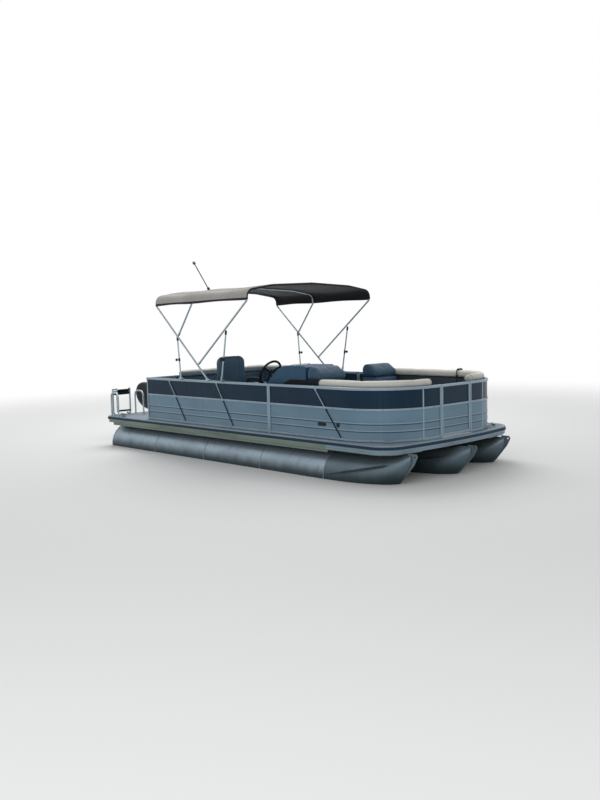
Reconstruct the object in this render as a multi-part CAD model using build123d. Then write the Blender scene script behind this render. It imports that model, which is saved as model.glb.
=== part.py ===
"""Pontoon boat with three tubes, fenced deck, folding sun top and outboard motor.

Millimetres. +X is the bow, +Y is port, +Z is up.
The origin is at the waterline, amidships, on the centreline.
"""

import os
from math import acos, atan2, cos, hypot, pi, radians, sin, sqrt, tan

from build123d import *

os.makedirs("parts", exist_ok=True)

# Deck outline
STERN_X = -2975.0
BOW_X = 3005.0
HALF_BEAM = 1295.0
DECK_TOP = 480.0
DECK_CORNER_R = 300.0
BOW_SWEEP_R = 8000.0
FLOORING_T = 3.0
BOARD_T = 19.0

# Tubes
TUBE_R = 317.5
TUBE_Z = 17.5
TUBE_Y = HALF_BEAM - 8.5 - TUBE_R
TUBE_AFT_X = -2900.0
TUBE_SEAM_X = 1880.0
TUBE_TOP = TUBE_Z + TUBE_R
CROSS_TOP = DECK_TOP - FLOORING_T - BOARD_T
CROSS_H = 76.0

# Fence
FENCE_AFT_X = -1939.0
FENCE_HALF = HALF_BEAM - 90
FENCE_CORNER_R = 720.0
FENCE_BOW_X = 2930.0
RAIL_TOP = DECK_TOP + 648.0
MID_RAIL_Z = DECK_TOP + 389.0
POST_W = 25.0
JOIN_X = 840.0
BOW_GATE_HALF = 298.0
PORT_GATE_X = (250.0, 850.0)
STERN_GATE_Y = (55.0 - FENCE_HALF, 505.0 - FENCE_HALF)

# Sun top, all in the side view (x, z)
TOP_Y = FENCE_HALF + 17
TOP_R = 13.0
REAR_FOOT = (-426.0, RAIL_TOP)
REAR_CORNER = (-1599.0, 2198.0)
FRONT_HINGE = (-637.0, 1334.0)
FRONT_CORNER = (475.0, 2222.0)
MID_HINGE = (-1097.0, 1740.0)
MID_CORNER = (-735.0, 2208.0)
REAR_STRUT_FOOT = (-1055.0, RAIL_TOP)
FRONT_STRUT_FOOT = (-106.0, RAIL_TOP)
CROWN_RISE = 235.0

# Motor
TRANSOM_X = -3075.0
TRANSOM_TOP = 330.0
TILT_AXIS = (-3060.0, 392.0)
STEER_X = -3190.0
PROP_Z = -495.0


def save(name, *shapes):
    solids = []
    for shape in shapes:
        solids += list(shape.solids())
    export_step(Compound(children=solids), f"parts/{name}.step")


def box(x0, x1, y0, y1, z0, z1):
    return Pos((x0 + x1) / 2, (y0 + y1) / 2, (z0 + z1) / 2) * Box(abs(x1 - x0), abs(y1 - y0), abs(z1 - z0))


def rod(a, b, r):
    a, b = Vector(*a), Vector(*b)
    d = b - a
    tube = Cylinder(r, d.length, align=(Align.CENTER, Align.CENTER, Align.MIN))
    return Plane(origin=a, z_dir=d) * tube


def port_of(shape):
    return mirror(shape, about=Plane.XZ)


def side_plate(points, y0, y1):
    """A closed outline in the side view (x, z), as thick as from y0 to y1."""
    wire = Wire([Edge.make_line((*p, 0), (*q, 0)) for p, q in zip(points, points[1:] + points[:1])])
    flat = Face(wire)
    solid = extrude(flat, amount=y1 - y0, dir=(0, 0, 1))
    return Pos(0, y1, 0) * (Rot(90, 0, 0) * solid)


def disc(x, z, r, y0, y1):
    return rod((x, y0, z), (x, y1, z), r)


def path(points, bends):
    """Straight runs joined by round bends, one radius per inner corner."""
    pts = [Vector(*p) for p in points]
    edges = []
    here = pts[0]
    for a, b, c, bend in zip(pts, pts[1:], pts[2:], bends):
        u = (a - b).normalized()
        v = (c - b).normalized()
        half = acos(max(-1, min(1, u.dot(v)))) / 2
        run = bend / tan(half)
        p, q = b + u * run, b + v * run
        centre = b + (u + v).normalized() * (bend / sin(half))
        middle = centre + (b - centre).normalized() * bend
        edges.append(Edge.make_line(here, p))
        edges.append(Edge.make_three_point_arc(p, middle, q))
        here = q
    edges.append(Edge.make_line(here, pts[-1]))
    return Wire(edges)


def pipe(points, bends, r):
    start = Vector(*points[0])
    way = Vector(*points[1]) - start
    return sweep(Plane(origin=start, z_dir=way) * Circle(r), path=path(points, bends))


def outline(grow, half, corner, bow_x, stern_x):
    """Plan outline with round bow corners and a slightly bowed front, grown outwards."""
    half, corner, bow_x, stern_x = half + grow, corner + grow, bow_x + grow, stern_x - grow
    front_r = BOW_SWEEP_R + grow
    hub = bow_x - front_r
    cy = half - corner
    cx = hub + sqrt((front_r - corner) ** 2 - cy**2)
    k = front_r / (front_r - corner)
    tx, ty = hub + (cx - hub) * k, cy * k
    turn = (pi / 2 + atan2(ty - cy, tx - cx)) / 2
    mx, my = cx + corner * cos(turn), cy + corner * sin(turn)
    edges = [
        Edge.make_line((stern_x, -half), (cx, -half)),
        Edge.make_three_point_arc((cx, -half), (mx, -my), (tx, -ty)),
        Edge.make_three_point_arc((tx, -ty), (bow_x, 0), (tx, ty)),
        Edge.make_three_point_arc((tx, ty), (mx, my), (cx, half)),
        Edge.make_line((cx, half), (stern_x, half)),
        Edge.make_line((stern_x, half), (stern_x, -half)),
    ]
    return Face(Wire(edges))


def deck_slab(grow, z0, z1):
    flat = outline(grow, HALF_BEAM, DECK_CORNER_R, BOW_X, STERN_X)
    return extrude(Pos(0, 0, z0) * flat, amount=z1 - z0, dir=(0, 0, 1))


def deck_ring(outer, inner, z0, z1):
    return deck_slab(outer, z0, z1) - deck_slab(inner, z0 - 1, z1 + 1)


def fence_slab(grow, z0, z1):
    flat = outline(grow, FENCE_HALF, FENCE_CORNER_R, FENCE_BOW_X, FENCE_AFT_X)
    return extrude(Pos(0, 0, z0) * flat, amount=z1 - z0, dir=(0, 0, 1))


def fence_ring(outer, inner, z0, z1):
    return fence_slab(outer, z0, z1) - fence_slab(inner, z0 - 1, z1 + 1)


# Tubes, nosecones, keels
# distance ahead of the seam, then lowest point, highest point and half width in tube radii
NOSE_SHARES = [
    (0.0, -1.0, 1.0, 1.0),
    (320.0, -0.94, 1.003, 0.945),
    (600.0, -0.723, 1.013, 0.794),
    (820.0, -0.364, 1.028, 0.586),
    (1000.0, 0.15, 1.047, 0.346),
    (1130.0, 0.77, 1.072, 0.107),
]
NOSE_STATIONS = [(TUBE_SEAM_X + ahead, TUBE_Z + low * TUBE_R, TUBE_Z + high * TUBE_R, wide * TUBE_R)
                 for ahead, low, high, wide in NOSE_SHARES]
CENTRE_NOSE_AHEAD = 150.0


def lens(x, low, high, wide, y):
    """Two arcs that meet in a point above and below."""
    middle = (low + high) / 2
    right = Edge.make_three_point_arc((x, y, low), (x, y + wide, middle), (x, y, high))
    left = Edge.make_three_point_arc((x, y, high), (x, y - wide, middle), (x, y, low))
    return Face(Wire([right, left]))


def nosecone(y, ahead):
    share = ahead / (NOSE_STATIONS[-1][0] - TUBE_SEAM_X)
    cuts = [(x + (x - TUBE_SEAM_X) * share, low, high, wide) for x, low, high, wide in NOSE_STATIONS]
    return loft([lens(x, low, high, wide, y) for x, low, high, wide in cuts]), cuts


def nose_plate(y, cuts, cone):
    """Flat plate welded on the leading edge, with the bow eye near its tip."""
    below = [(x, low - 14) for x, low, high, wide in cuts]
    tip_x, tip_z = cuts[-1][0] + 78, cuts[-1][2] + 14
    below[-1] = (below[-1][0] + 30, below[-1][1] - 4)
    inside = [(x - 30, low + 60) for x, low, high, wide in reversed(cuts[1:])]
    rim = below + [(tip_x - 12, tip_z - 60), (tip_x, tip_z - 34), (tip_x - 14, tip_z)]
    rim += [(cuts[-1][0] - 60, tip_z)] + inside + [(cuts[0][0], cuts[0][1] + 40)]
    plate = side_plate(rim, y - 5, y + 5)
    return plate - cone - disc(tip_x - 34, tip_z - 34, 12, y - 20, y + 20)


# Spray strakes: distance ahead of the seam, height, how far the sharp edge stands out of the cone
SPRAY = [
    (10.0, 56.0, 4.0),
    (320.0, 116.0, 34.0),
    (600.0, 171.0, 46.0),
    (820.0, 214.0, 34.0),
    (900.0, 230.0, 3.0),
]


def cone_reach(cuts, x, z):
    """Half width of the cone at a length and a height, between the two nearest cuts."""
    for (x0, *near), (x1, *far) in zip(cuts, cuts[1:]):
        if x0 <= x <= x1:
            share = (x - x0) / (x1 - x0)
            low, high, wide = [a + (b - a) * share for a, b in zip(near, far)]
    half = (high - low) / 2
    arc_r = (half**2 + wide**2) / (2 * wide)
    return wide - arc_r + sqrt(arc_r**2 - (z - (low + high) / 2) ** 2)


def spray_strakes(y, cuts):
    """A wedge along each side of a nosecone, its sharp edge outwards."""
    stretch = (cuts[-1][0] - TUBE_SEAM_X) / (NOSE_STATIONS[-1][0] - TUBE_SEAM_X)
    sections = []
    for ahead, z, out in SPRAY:
        x = TUBE_SEAM_X + ahead * stretch
        reach = cone_reach(cuts, x, z)
        top, tip, foot = (x, reach - 25, z + 22), (x, reach + out, z - 2), (x, reach - 25, z - 10)
        sides = [Edge.make_line(top, tip), Edge.make_line(tip, foot), Edge.make_line(foot, top)]
        sections.append(Face(Wire(sides)))
    wedge = loft(sections, ruled=True)
    return Pos(0, y, 0) * (wedge + port_of(wedge))


tubes, cones, keels, strips = [], [], [], []
for tube_y, ahead in ((-TUBE_Y, 0.0), (0.0, CENTRE_NOSE_AHEAD), (TUBE_Y, 0.0)):
    tubes.append(rod((TUBE_AFT_X, tube_y, TUBE_Z), (TUBE_SEAM_X, tube_y, TUBE_Z), TUBE_R))
    cone, cuts = nosecone(tube_y, ahead)
    cones.append(cone + spray_strakes(tube_y, cuts))
    keel_z = TUBE_Z - TUBE_R
    keel = box(TUBE_AFT_X + 20, TUBE_SEAM_X, tube_y - 19, tube_y + 19, keel_z - 12, keel_z + 17)
    keels.append(keel - rod((TUBE_AFT_X, tube_y, TUBE_Z), (TUBE_SEAM_X, tube_y, TUBE_Z), TUBE_R))
    keels.append(nose_plate(tube_y, cuts, cone))
save("float_tubes", *tubes)
save("nosecones", *cones)
save("keels", *[keels[i] + keels[i + 1] for i in (0, 2, 4)])

# tube y, side, degrees below the horizontal
STRAKES = [(tube_y, side, 38) for tube_y in (-TUBE_Y, 0.0, TUBE_Y) for side in (-1, 1)]
for tube_y, side, down in STRAKES:
    a = radians(down)
    u = (side * cos(a), -sin(a))
    v = (sin(a) * side, cos(a))
    corners = []
    for along, across in ((TUBE_R - 17, 22), (TUBE_R - 17, -30), (TUBE_R + 54, -22)):
        corners.append((tube_y + u[0] * along + v[0] * across, TUBE_Z + u[1] * along + v[1] * across))
    wire = Wire([Edge.make_line((0, *p), (0, *q)) for p, q in zip(corners, corners[1:] + corners[:1])])
    bar = extrude(Pos(TUBE_AFT_X + 250, 0, 0) * Face(wire), amount=4400, dir=(1, 0, 0))
    strips.append(bar - rod((TUBE_AFT_X, tube_y, TUBE_Z), (TUBE_SEAM_X, tube_y, TUBE_Z), TUBE_R))
save("lifting_strakes", *strips)

risers = []
for tube_y in (-TUBE_Y, 0.0, TUBE_Y):
    low, high = TUBE_TOP - 40, CROSS_TOP - CROSS_H
    riser = box(TUBE_AFT_X + 40, 2250, tube_y - 70, tube_y + 70, low, high)
    riser -= box(TUBE_AFT_X + 30, 2260, tube_y - 64, tube_y + 64, low - 1, high - 6)
    riser -= rod((TUBE_AFT_X - 5, tube_y, TUBE_Z), (2400, tube_y, TUBE_Z), TUBE_R + 0.2)
    risers.append(riser & box(TUBE_AFT_X, 2160, tube_y - 100, tube_y + 100, low, high))
save("tube_risers", *risers)

# Deck frame
CROSS_PITCH = 405.0
CROSS_COUNT = 14
beams = []
for i in range(CROSS_COUNT):
    x = -2880 + i * CROSS_PITCH
    reach = HALF_BEAM - (55 if x < 2200 else 285)
    beam = box(x, x + 50, -reach, reach, CROSS_TOP - CROSS_H, CROSS_TOP)
    beams.append(beam - box(x + 4, x + 51, -reach - 1, reach + 1, CROSS_TOP - CROSS_H + 4, CROSS_TOP - 4))
save("cross_members", *beams)

save("deck_board", deck_slab(-27, CROSS_TOP, CROSS_TOP + BOARD_T))
save("flooring", deck_slab(-27, DECK_TOP - FLOORING_T, DECK_TOP))

# lowest and highest point below the deck top, then how far in from the edge
RUB_RAIL_STEPS = [(-72, 0, 0), (-86, -72, 12), (-102, -86, 4)]
rub_rail = [deck_ring(-inset, -26.8, DECK_TOP + low, DECK_TOP + high) for low, high, inset in RUB_RAIL_STEPS]
save("rub_rail", rub_rail[0] + rub_rail[1] + rub_rail[2])
save("rub_insert", deck_ring(8, 0.2, DECK_TOP - 52, DECK_TOP - 18))

SKIRT_Y = HALF_BEAM - 43
SKIRT_JOIN_X = 1930.0
skirt = box(-2900, SKIRT_JOIN_X, -SKIRT_Y, 3 - SKIRT_Y, 330, 382)
skirt += box(-2900, SKIRT_JOIN_X, -SKIRT_Y, 24 - SKIRT_Y, 379, 382)
bow_skirt = deck_ring(-27, -30, 362, 392) & box(SKIRT_JOIN_X + 6, BOW_X, -HALF_BEAM, -700, 300, 400)
save("side_skirts", skirt, port_of(skirt), bow_skirt, port_of(bow_skirt))

# Fence: frames of square tube with skins between them
# name, region (x0, x1, y0, y1), posts (x, y), slanted bars (top x, foot x, y)
EDGE = POST_W / 2
FRONT_POST_X = FENCE_BOW_X - 5
PAST_X = FENCE_BOW_X + 60
OUT_Y, IN_Y = FENCE_HALF + 35, FENCE_HALF - 25
PANELS = [
    ("starboard_aft", (FENCE_AFT_X - 20, JOIN_X - 2, -OUT_Y, -IN_Y),
     [(FENCE_AFT_X, -FENCE_HALF), (JOIN_X - 2 - EDGE, -FENCE_HALF)],
     [(-1378, -975, -FENCE_HALF), (-257, 114, -FENCE_HALF)]),
    ("starboard_bow", (JOIN_X + 2, PAST_X, -OUT_Y, -BOW_GATE_HALF),
     [(JOIN_X + 2 + EDGE, -FENCE_HALF), (FRONT_POST_X, -BOW_GATE_HALF - EDGE)],
     [(1687, 2140, -FENCE_HALF)]),
    ("port_aft", (FENCE_AFT_X - 20, PORT_GATE_X[0], IN_Y, OUT_Y),
     [(FENCE_AFT_X, FENCE_HALF), (PORT_GATE_X[0] - EDGE, FENCE_HALF)],
     [(-1378, -975, FENCE_HALF)]),
    ("port_bow", (PORT_GATE_X[1], PAST_X, BOW_GATE_HALF, OUT_Y),
     [(PORT_GATE_X[1] + EDGE, FENCE_HALF), (FRONT_POST_X, BOW_GATE_HALF + EDGE)],
     [(1687, 2140, FENCE_HALF)]),
    ("stern", (FENCE_AFT_X - 20, FENCE_AFT_X + 20, STERN_GATE_Y[1], IN_Y),
     [(FENCE_AFT_X, STERN_GATE_Y[1] + EDGE), (FENCE_AFT_X, IN_Y - EDGE)],
     []),
]

top_rail = fence_ring(16, -16, RAIL_TOP - 32, RAIL_TOP)
top_rail = fillet(top_rail.edges().group_by(Axis.Z)[-1], 12)
mid_rail = fence_ring(11, -11, MID_RAIL_Z - 11, MID_RAIL_Z + 11)
low_rail = fence_ring(12.5, -12.5, DECK_TOP + 8, DECK_TOP + 33)
lower_skin = fence_ring(3, 0, DECK_TOP + 33, MID_RAIL_Z - 11)
for rib_z in (DECK_TOP + 133, DECK_TOP + 221):
    lower_skin += fence_ring(8, 2, rib_z - 7, rib_z + 7)
upper_skin = fence_ring(3, 0, MID_RAIL_Z + 11, RAIL_TOP - 32)


def slanted_bar(x_top, x_foot, y):
    """A brace that is wide above the middle rail and narrow below it."""
    z0, z1 = DECK_TOP + 20, RAIL_TOP - 20
    x_mid = x_foot + (x_top - x_foot) * (MID_RAIL_Z - z0) / (z1 - z0)
    upper = [(x_mid - 13, MID_RAIL_Z), (x_mid + 13, MID_RAIL_Z), (x_top + 13, z1), (x_top - 13, z1)]
    lower = [(x_foot - 6, z0), (x_foot + 6, z0), (x_mid + 6, MID_RAIL_Z), (x_mid - 6, MID_RAIL_Z)]
    return side_plate(upper, y - 12, y + 12) + side_plate(lower, y - 12, y + 12)


frames, lower_skins, upper_skins = {}, {}, {}
for name, (x0, x1, y0, y1), posts, slants in PANELS:
    region = box(x0, x1, y0, y1, 0, 2000)
    frame = (top_rail & region) + (mid_rail & region) + (low_rail & region)
    for x, y in posts:
        frame += box(x - EDGE, x + EDGE, y - EDGE, y + EDGE, DECK_TOP, RAIL_TOP - 10)
    for x_top, x_foot, y in slants:
        frame += slanted_bar(x_top, x_foot, y)
    if name.endswith("bow"):
        side = -1 if y0 < 0 else 1
        x = FRONT_POST_X - 23
        frame += rod((x, side * 612, DECK_TOP), (x, side * 612, RAIL_TOP - 10), 11)
    frames[name] = frame
    lower_skins[name] = (lower_skin & region) - frame
    upper_skins[name] = (upper_skin & region) - frame
    save(f"fence_frame_{name}", frame)
for kind, skins in (("lower", lower_skins), ("upper", upper_skins)):
    save(f"fence_skins_{kind}", *skins.values())


def gate(length):
    """A gate in the side view: x from 0 to length, centred on y = 0."""
    z0, z1 = DECK_TOP + 22, RAIL_TOP - 4
    frame = box(0, length, -12.5, 12.5, z0, z1)
    frame -= box(25, length - 25, -13, 13, z0 + 25, MID_RAIL_Z - 11)
    frame -= box(25, length - 25, -13, 13, MID_RAIL_Z + 11, z1 - 28)
    lower = box(25, length - 25, -3, 0, z0 + 25, MID_RAIL_Z - 11)
    for rib_z in (DECK_TOP + 133, DECK_TOP + 221):
        lower += box(25, length - 25, -8, -2, rib_z - 7, rib_z + 7)
    upper = box(25, length - 25, -3, 0, MID_RAIL_Z + 11, z1 - 28)
    return frame, lower, upper


def hinge_knuckles():
    """Fixed knuckle with its pin, and the gate's ring, pin at (0, 0), z from 0 to 46."""
    fixed = Cylinder(11, 20, align=(Align.CENTER, Align.CENTER, Align.MIN))
    fixed += Cylinder(5, 46, align=(Align.CENTER, Align.CENTER, Align.MIN))
    ring = Pos(0, 0, 21) * Cylinder(11, 22, align=(Align.CENTER, Align.CENTER, Align.MIN))
    return fixed, ring


HINGE_Z = (DECK_TOP + 90, DECK_TOP + 540)
fixed_hinges = []


# pin (x, y); post_arm and gate_arm are the plan boxes (x0, x1, y0, y1) of the hinge's two arms
def place_gate(name, placing, length, pin, post_arm, gate_arm):
    frame, lower, upper = [placing * part for part in gate(length)]
    for z in HINGE_Z:
        fixed, ring = hinge_knuckles()
        here = Pos(pin[0], pin[1], z)
        fixed = here * fixed + box(*post_arm, z, z + 20)
        ring = here * ring + box(*gate_arm, z + 21, z + 43)
        ring -= rod((pin[0], pin[1], z + 10), (pin[0], pin[1], z + 60), 5.05)
        fixed_hinges.append(fixed)
        frame += ring
    save(f"{name}_frame", frame)
    save(f"{name}_skin_lower", lower)
    save(f"{name}_skin_upper", upper)


GAP = 7.0
# Bow gate, pin on the port post
place_gate("bow_gate",
           Pos(FRONT_POST_X, -BOW_GATE_HALF + GAP, 0) * Rot(0, 0, 90), 2 * (BOW_GATE_HALF - GAP),
           (FRONT_POST_X - 27, BOW_GATE_HALF - 2),
           (FRONT_POST_X - 27, FRONT_POST_X - EDGE, BOW_GATE_HALF + 1, BOW_GATE_HALF + 9),
           (FRONT_POST_X - 27, FRONT_POST_X - EDGE, BOW_GATE_HALF - 13, BOW_GATE_HALF - 7))
# Port gate, pin on the aft post
place_gate("port_gate",
           Pos(PORT_GATE_X[1] - GAP, FENCE_HALF, 0) * Rot(0, 0, 180),
           PORT_GATE_X[1] - PORT_GATE_X[0] - 2 * GAP,
           (PORT_GATE_X[0] + 2, FENCE_HALF - 27),
           (PORT_GATE_X[0] - 9, PORT_GATE_X[0] - 1, FENCE_HALF - 27, FENCE_HALF - EDGE),
           (PORT_GATE_X[0] + 7, PORT_GATE_X[0] + 13, FENCE_HALF - 27, FENCE_HALF - EDGE))
# Stern gate, pin on the starboard corner post
place_gate("stern_gate",
           Pos(FENCE_AFT_X, STERN_GATE_Y[1] - GAP, 0) * Rot(0, 0, -90),
           STERN_GATE_Y[1] - STERN_GATE_Y[0] - GAP,
           (FENCE_AFT_X + 27, STERN_GATE_Y[0] - 10),
           (FENCE_AFT_X + EDGE, FENCE_AFT_X + 27, STERN_GATE_Y[0] - 28, STERN_GATE_Y[0] - 19),
           (FENCE_AFT_X + EDGE, FENCE_AFT_X + 27, STERN_GATE_Y[0] - 1, STERN_GATE_Y[0] + 8))
stern_hinge_post = box(FENCE_AFT_X - EDGE, FENCE_AFT_X + EDGE + 1, 0.2 - IN_Y, STERN_GATE_Y[0] - 7,
                       DECK_TOP, RAIL_TOP - 4)
fittings = fixed_hinges[:4] + [stern_hinge_post + fixed_hinges[4] + fixed_hinges[5]]

# Boarding ladder, handrails
LADDER_Y = 250.0 - HALF_BEAM
HINGE1 = (-3010.0, 500.0)
HINGE2 = (-2930.0, 900.0)
UPPER_X, LOWER_X = -2960.0, -2900.0
brackets, upper_ladder, lower_ladder = [], None, None
for side in (-1, 1):
    y = LADDER_Y + side * 160
    inner = LADDER_Y + side * 122
    arm = box(-3010, -2890, y - side * 30 - 4, y - side * 30 + 4, DECK_TOP, DECK_TOP + 12)
    arm += disc(HINGE1[0], HINGE1[1], 14, y - side * 30 - 4, y - side * 30 + 4)
    arm += box(-3024, -2996, y - side * 30 - 4, y - side * 30 + 4, 486, 500)
    arm += box(-2940, -2840, y - side * 30 - 22, y - side * 30 + 22, DECK_TOP, DECK_TOP + 5)
    arm += disc(HINGE1[0], HINGE1[1], 6, y - side * 30, y - side * 12)
    brackets.append(arm)
    rail = rod((UPPER_X, y, 500), (UPPER_X, y, 905), 14)
    lug_y = sorted((y - side * 24, y - side * 14))
    foot = box(-3010, UPPER_X + 10, lug_y[0], lug_y[1], 492, 508)
    foot += disc(HINGE1[0], HINGE1[1], 13, lug_y[0], lug_y[1])
    foot += box(UPPER_X - 8, UPPER_X + 8, min(y, lug_y[0]), max(y, lug_y[1]), 492, 508)
    rail += foot
    ear_y = sorted((y - side * 8, y - side * 18))
    rail += box(UPPER_X - 10, HINGE2[0], ear_y[0], ear_y[1], 890, 910) + disc(*HINGE2, 12, *ear_y)
    pin_y = sorted((y - side * 10, inner + side * 2))
    rail += disc(*HINGE2, 6, *pin_y)
    rail -= disc(*HINGE1, 6.05, LADDER_Y - 300, LADDER_Y + 300)
    upper_ladder = rail if upper_ladder is None else upper_ladder + rail
    low = rod((LOWER_X, inner, 522), (LOWER_X, inner, 892), 12)
    knuckle_y = sorted((inner + side * 10, inner))
    low += box(HINGE2[0], LOWER_X, knuckle_y[0], knuckle_y[1], 888, 912)
    low += disc(*HINGE2, 13, *knuckle_y) + rod((LOWER_X, inner, 880), (LOWER_X, inner, 912), 12)
    low -= disc(*HINGE2, 6.05, LADDER_Y - 300, LADDER_Y + 300)
    lower_ladder = low if lower_ladder is None else lower_ladder + low
for z in (815, 860):
    upper_ladder += box(UPPER_X - 24, UPPER_X + 22, LADDER_Y - 158, LADDER_Y + 158, z - 10, z + 10)
for z in (545, 838, 882):
    lower_ladder += box(LOWER_X - 22, LOWER_X + 24, LADDER_Y - 120, LADDER_Y + 120, z - 10, z + 10)
fittings += brackets
save("ladder_upper", upper_ladder)
save("ladder_lower", lower_ladder)

# y, aft foot x, forward foot x, height above the deck
HANDRAILS = [
    (37 - HALF_BEAM, -2925.0, -2725.0, 380.0),
    (475 - HALF_BEAM, -2900.0, -2665.0, 380.0),
    (735 - HALF_BEAM, -2890.0, -2660.0, 360.0),
]
rails = []
for y, x0, x1, high in HANDRAILS:
    top = DECK_TOP + high
    bar = pipe([(x0, y, DECK_TOP), (x0, y, top), (x1, y, top), (x1, y, DECK_TOP)], [80, 80], 12.5)
    for x in (x0, x1):
        bar += rod((x, y, DECK_TOP), (x, y, DECK_TOP + 6), 30)
    rails.append(bar)
save("stern_handrails", *rails)


# Sun top
def unit(a, b):
    run = hypot(b[0] - a[0], b[1] - a[1])
    return ((b[0] - a[0]) / run, (b[1] - a[1]) / run)


def bow_points(foot, corner, crown):
    x1, z1 = corner
    half = [(foot[0], -TOP_Y, foot[1]), (x1, -TOP_Y, z1)]
    half += [(x1, y, z1 + crown * share) for y, share in ARCH[:-1]]
    other = [(x, -y, z) for x, y, z in reversed(half)]
    return half + [(x1, 0, z1 + crown)] + other


# y, share of the crown's rise over the lower corner
ARCH = [(-TOP_Y, 0.58), (-0.626 * TOP_Y, 0.87), (0.0, 1.0)]
BOW_BENDS = [55, 110, 900, 1500, 900, 110, 55]


def eye_lug(tube_at, pin_at):
    """Block round a leg with a thin lug that carries the pin, on the starboard side."""
    u = unit(tube_at, pin_at)
    lug = disc(*pin_at, 11, -TOP_Y - 4, -TOP_Y + 4) + disc(*pin_at, 5, -TOP_Y - 13, -TOP_Y + 13)
    n = (-u[1] * 11, u[0] * 11)
    corners = [(tube_at[0] + n[0], tube_at[1] + n[1]), (pin_at[0] + n[0], pin_at[1] + n[1]),
               (pin_at[0] - n[0], pin_at[1] - n[1]), (tube_at[0] - n[0], tube_at[1] - n[1])]
    return lug + side_plate(corners, -TOP_Y - 4, -TOP_Y + 4)


def fork(pin_at, toward):
    """Two cheeks on a pin, joined where the leg begins, on the starboard side."""
    u = unit(pin_at, toward)
    n = (-u[1] * 10, u[0] * 10)
    end = (pin_at[0] + u[0] * 40, pin_at[1] + u[1] * 40)
    start = (pin_at[0] + u[0] * 16, pin_at[1] + u[1] * 16)
    whole = None
    for y0, y1 in ((-TOP_Y - 13, -TOP_Y - 5), (-TOP_Y + 5, -TOP_Y + 13)):
        corners = [(pin_at[0] + n[0], pin_at[1] + n[1]), (end[0] + n[0], end[1] + n[1]),
                   (end[0] - n[0], end[1] - n[1]), (pin_at[0] - n[0], pin_at[1] - n[1])]
        cheek = side_plate(corners, y0, y1) + disc(*pin_at, 10, y0, y1)
        whole = cheek if whole is None else whole + cheek
    block = [(start[0] + n[0], start[1] + n[1]), (end[0] + n[0], end[1] + n[1]),
             (end[0] - n[0], end[1] - n[1]), (start[0] - n[0], start[1] - n[1])]
    whole += side_plate(block, -TOP_Y - 13, -TOP_Y + 13)
    return whole - disc(*pin_at, 5.05, -TOP_Y - 30, -TOP_Y + 30)


LEG = unit(REAR_FOOT, REAR_CORNER)
OUT = (LEG[1], -LEG[0])
PIN_OFF = 34.0
FRONT_PIN = (FRONT_HINGE[0] + OUT[0] * PIN_OFF, FRONT_HINGE[1] + OUT[1] * PIN_OFF)
MID_PIN = (MID_HINGE[0] + OUT[0] * PIN_OFF, MID_HINGE[1] + OUT[1] * PIN_OFF)
STRUT_PIN = (FRONT_STRUT_FOOT[0], RAIL_TOP + 26)

rear_bow = pipe(bow_points((REAR_FOOT[0] + 6, REAR_FOOT[1] + 10), REAR_CORNER, CROWN_RISE), BOW_BENDS, TOP_R)
lugs = eye_lug(FRONT_HINGE, FRONT_PIN) + eye_lug(MID_HINGE, MID_PIN)
rear_bow += lugs + port_of(lugs)


def rail_foot(x):
    foot = box(x - 34, x + 34, -TOP_Y - 15, -TOP_Y + 33, RAIL_TOP, RAIL_TOP + 14)
    return foot + rod((x, -TOP_Y, RAIL_TOP), (x, -TOP_Y, RAIL_TOP + 26), 19)


foot = rail_foot(REAR_FOOT[0])
rear_bow += foot + port_of(foot)
save("bimini_rear_bow", rear_bow)
on_leg = (-1106.0, 1748.0)
strut = rod((REAR_STRUT_FOOT[0], -TOP_Y, RAIL_TOP + 8), (on_leg[0], -TOP_Y, on_leg[1]), 11)
strut = (strut + rail_foot(REAR_STRUT_FOOT[0])) - rear_bow
strut = max(strut.solids(), key=lambda piece: piece.volume)
save("bimini_rear_struts", strut, port_of(strut))
foot = box(STRUT_PIN[0] - 30, STRUT_PIN[0] + 30, -TOP_Y - 12, -TOP_Y + 33, RAIL_TOP, RAIL_TOP + 8)
foot += eye_lug((STRUT_PIN[0], RAIL_TOP + 4), STRUT_PIN)
fittings += [foot, port_of(foot)]
save("hinge_fittings", *fittings)


def hinged_bow(pin, corner):
    u = unit(pin, corner)
    start = (pin[0] + u[0] * 38, pin[1] + u[1] * 38)
    bow = pipe(bow_points(start, corner, CROWN_RISE), BOW_BENDS, TOP_R)
    ends = fork(pin, corner)
    return bow + ends + port_of(ends)


save("bimini_front_bow", hinged_bow(FRONT_PIN, FRONT_CORNER))
save("bimini_mid_bow", hinged_bow(MID_PIN, MID_CORNER))

strut_top = (20.0, 1828.0)
u = unit(STRUT_PIN, strut_top)
front_strut = rod((STRUT_PIN[0] + u[0] * 38, -TOP_Y, STRUT_PIN[1] + u[1] * 38),
                  (strut_top[0], -TOP_Y, strut_top[1]), 11)
front_strut += fork(STRUT_PIN, strut_top)
save("front_strut_starboard", front_strut)
save("front_strut_port", port_of(front_strut))


def grown(points, by):
    """An open outline of straight runs moved outwards (to the left of its travel)."""
    lines = []
    for (y0, z0), (y1, z1) in zip(points, points[1:]):
        run = hypot(y1 - y0, z1 - z0)
        ny, nz = -(z1 - z0) / run * by, (y1 - y0) / run * by
        lines.append(((y0 + ny, z0 + nz), (y1 + ny, z1 + nz)))
    moved = [lines[0][0]]
    for (p, q), (r, t) in zip(lines, lines[1:]):
        ay, az, by_, bz = q[0] - p[0], q[1] - p[1], t[0] - r[0], t[1] - r[1]
        k = ((r[0] - p[0]) * bz - (r[1] - p[1]) * by_) / (ay * bz - az * by_)
        moved.append((p[0] + ay * k, p[1] + az * k))
    return moved + [lines[-1][1]]


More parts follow.
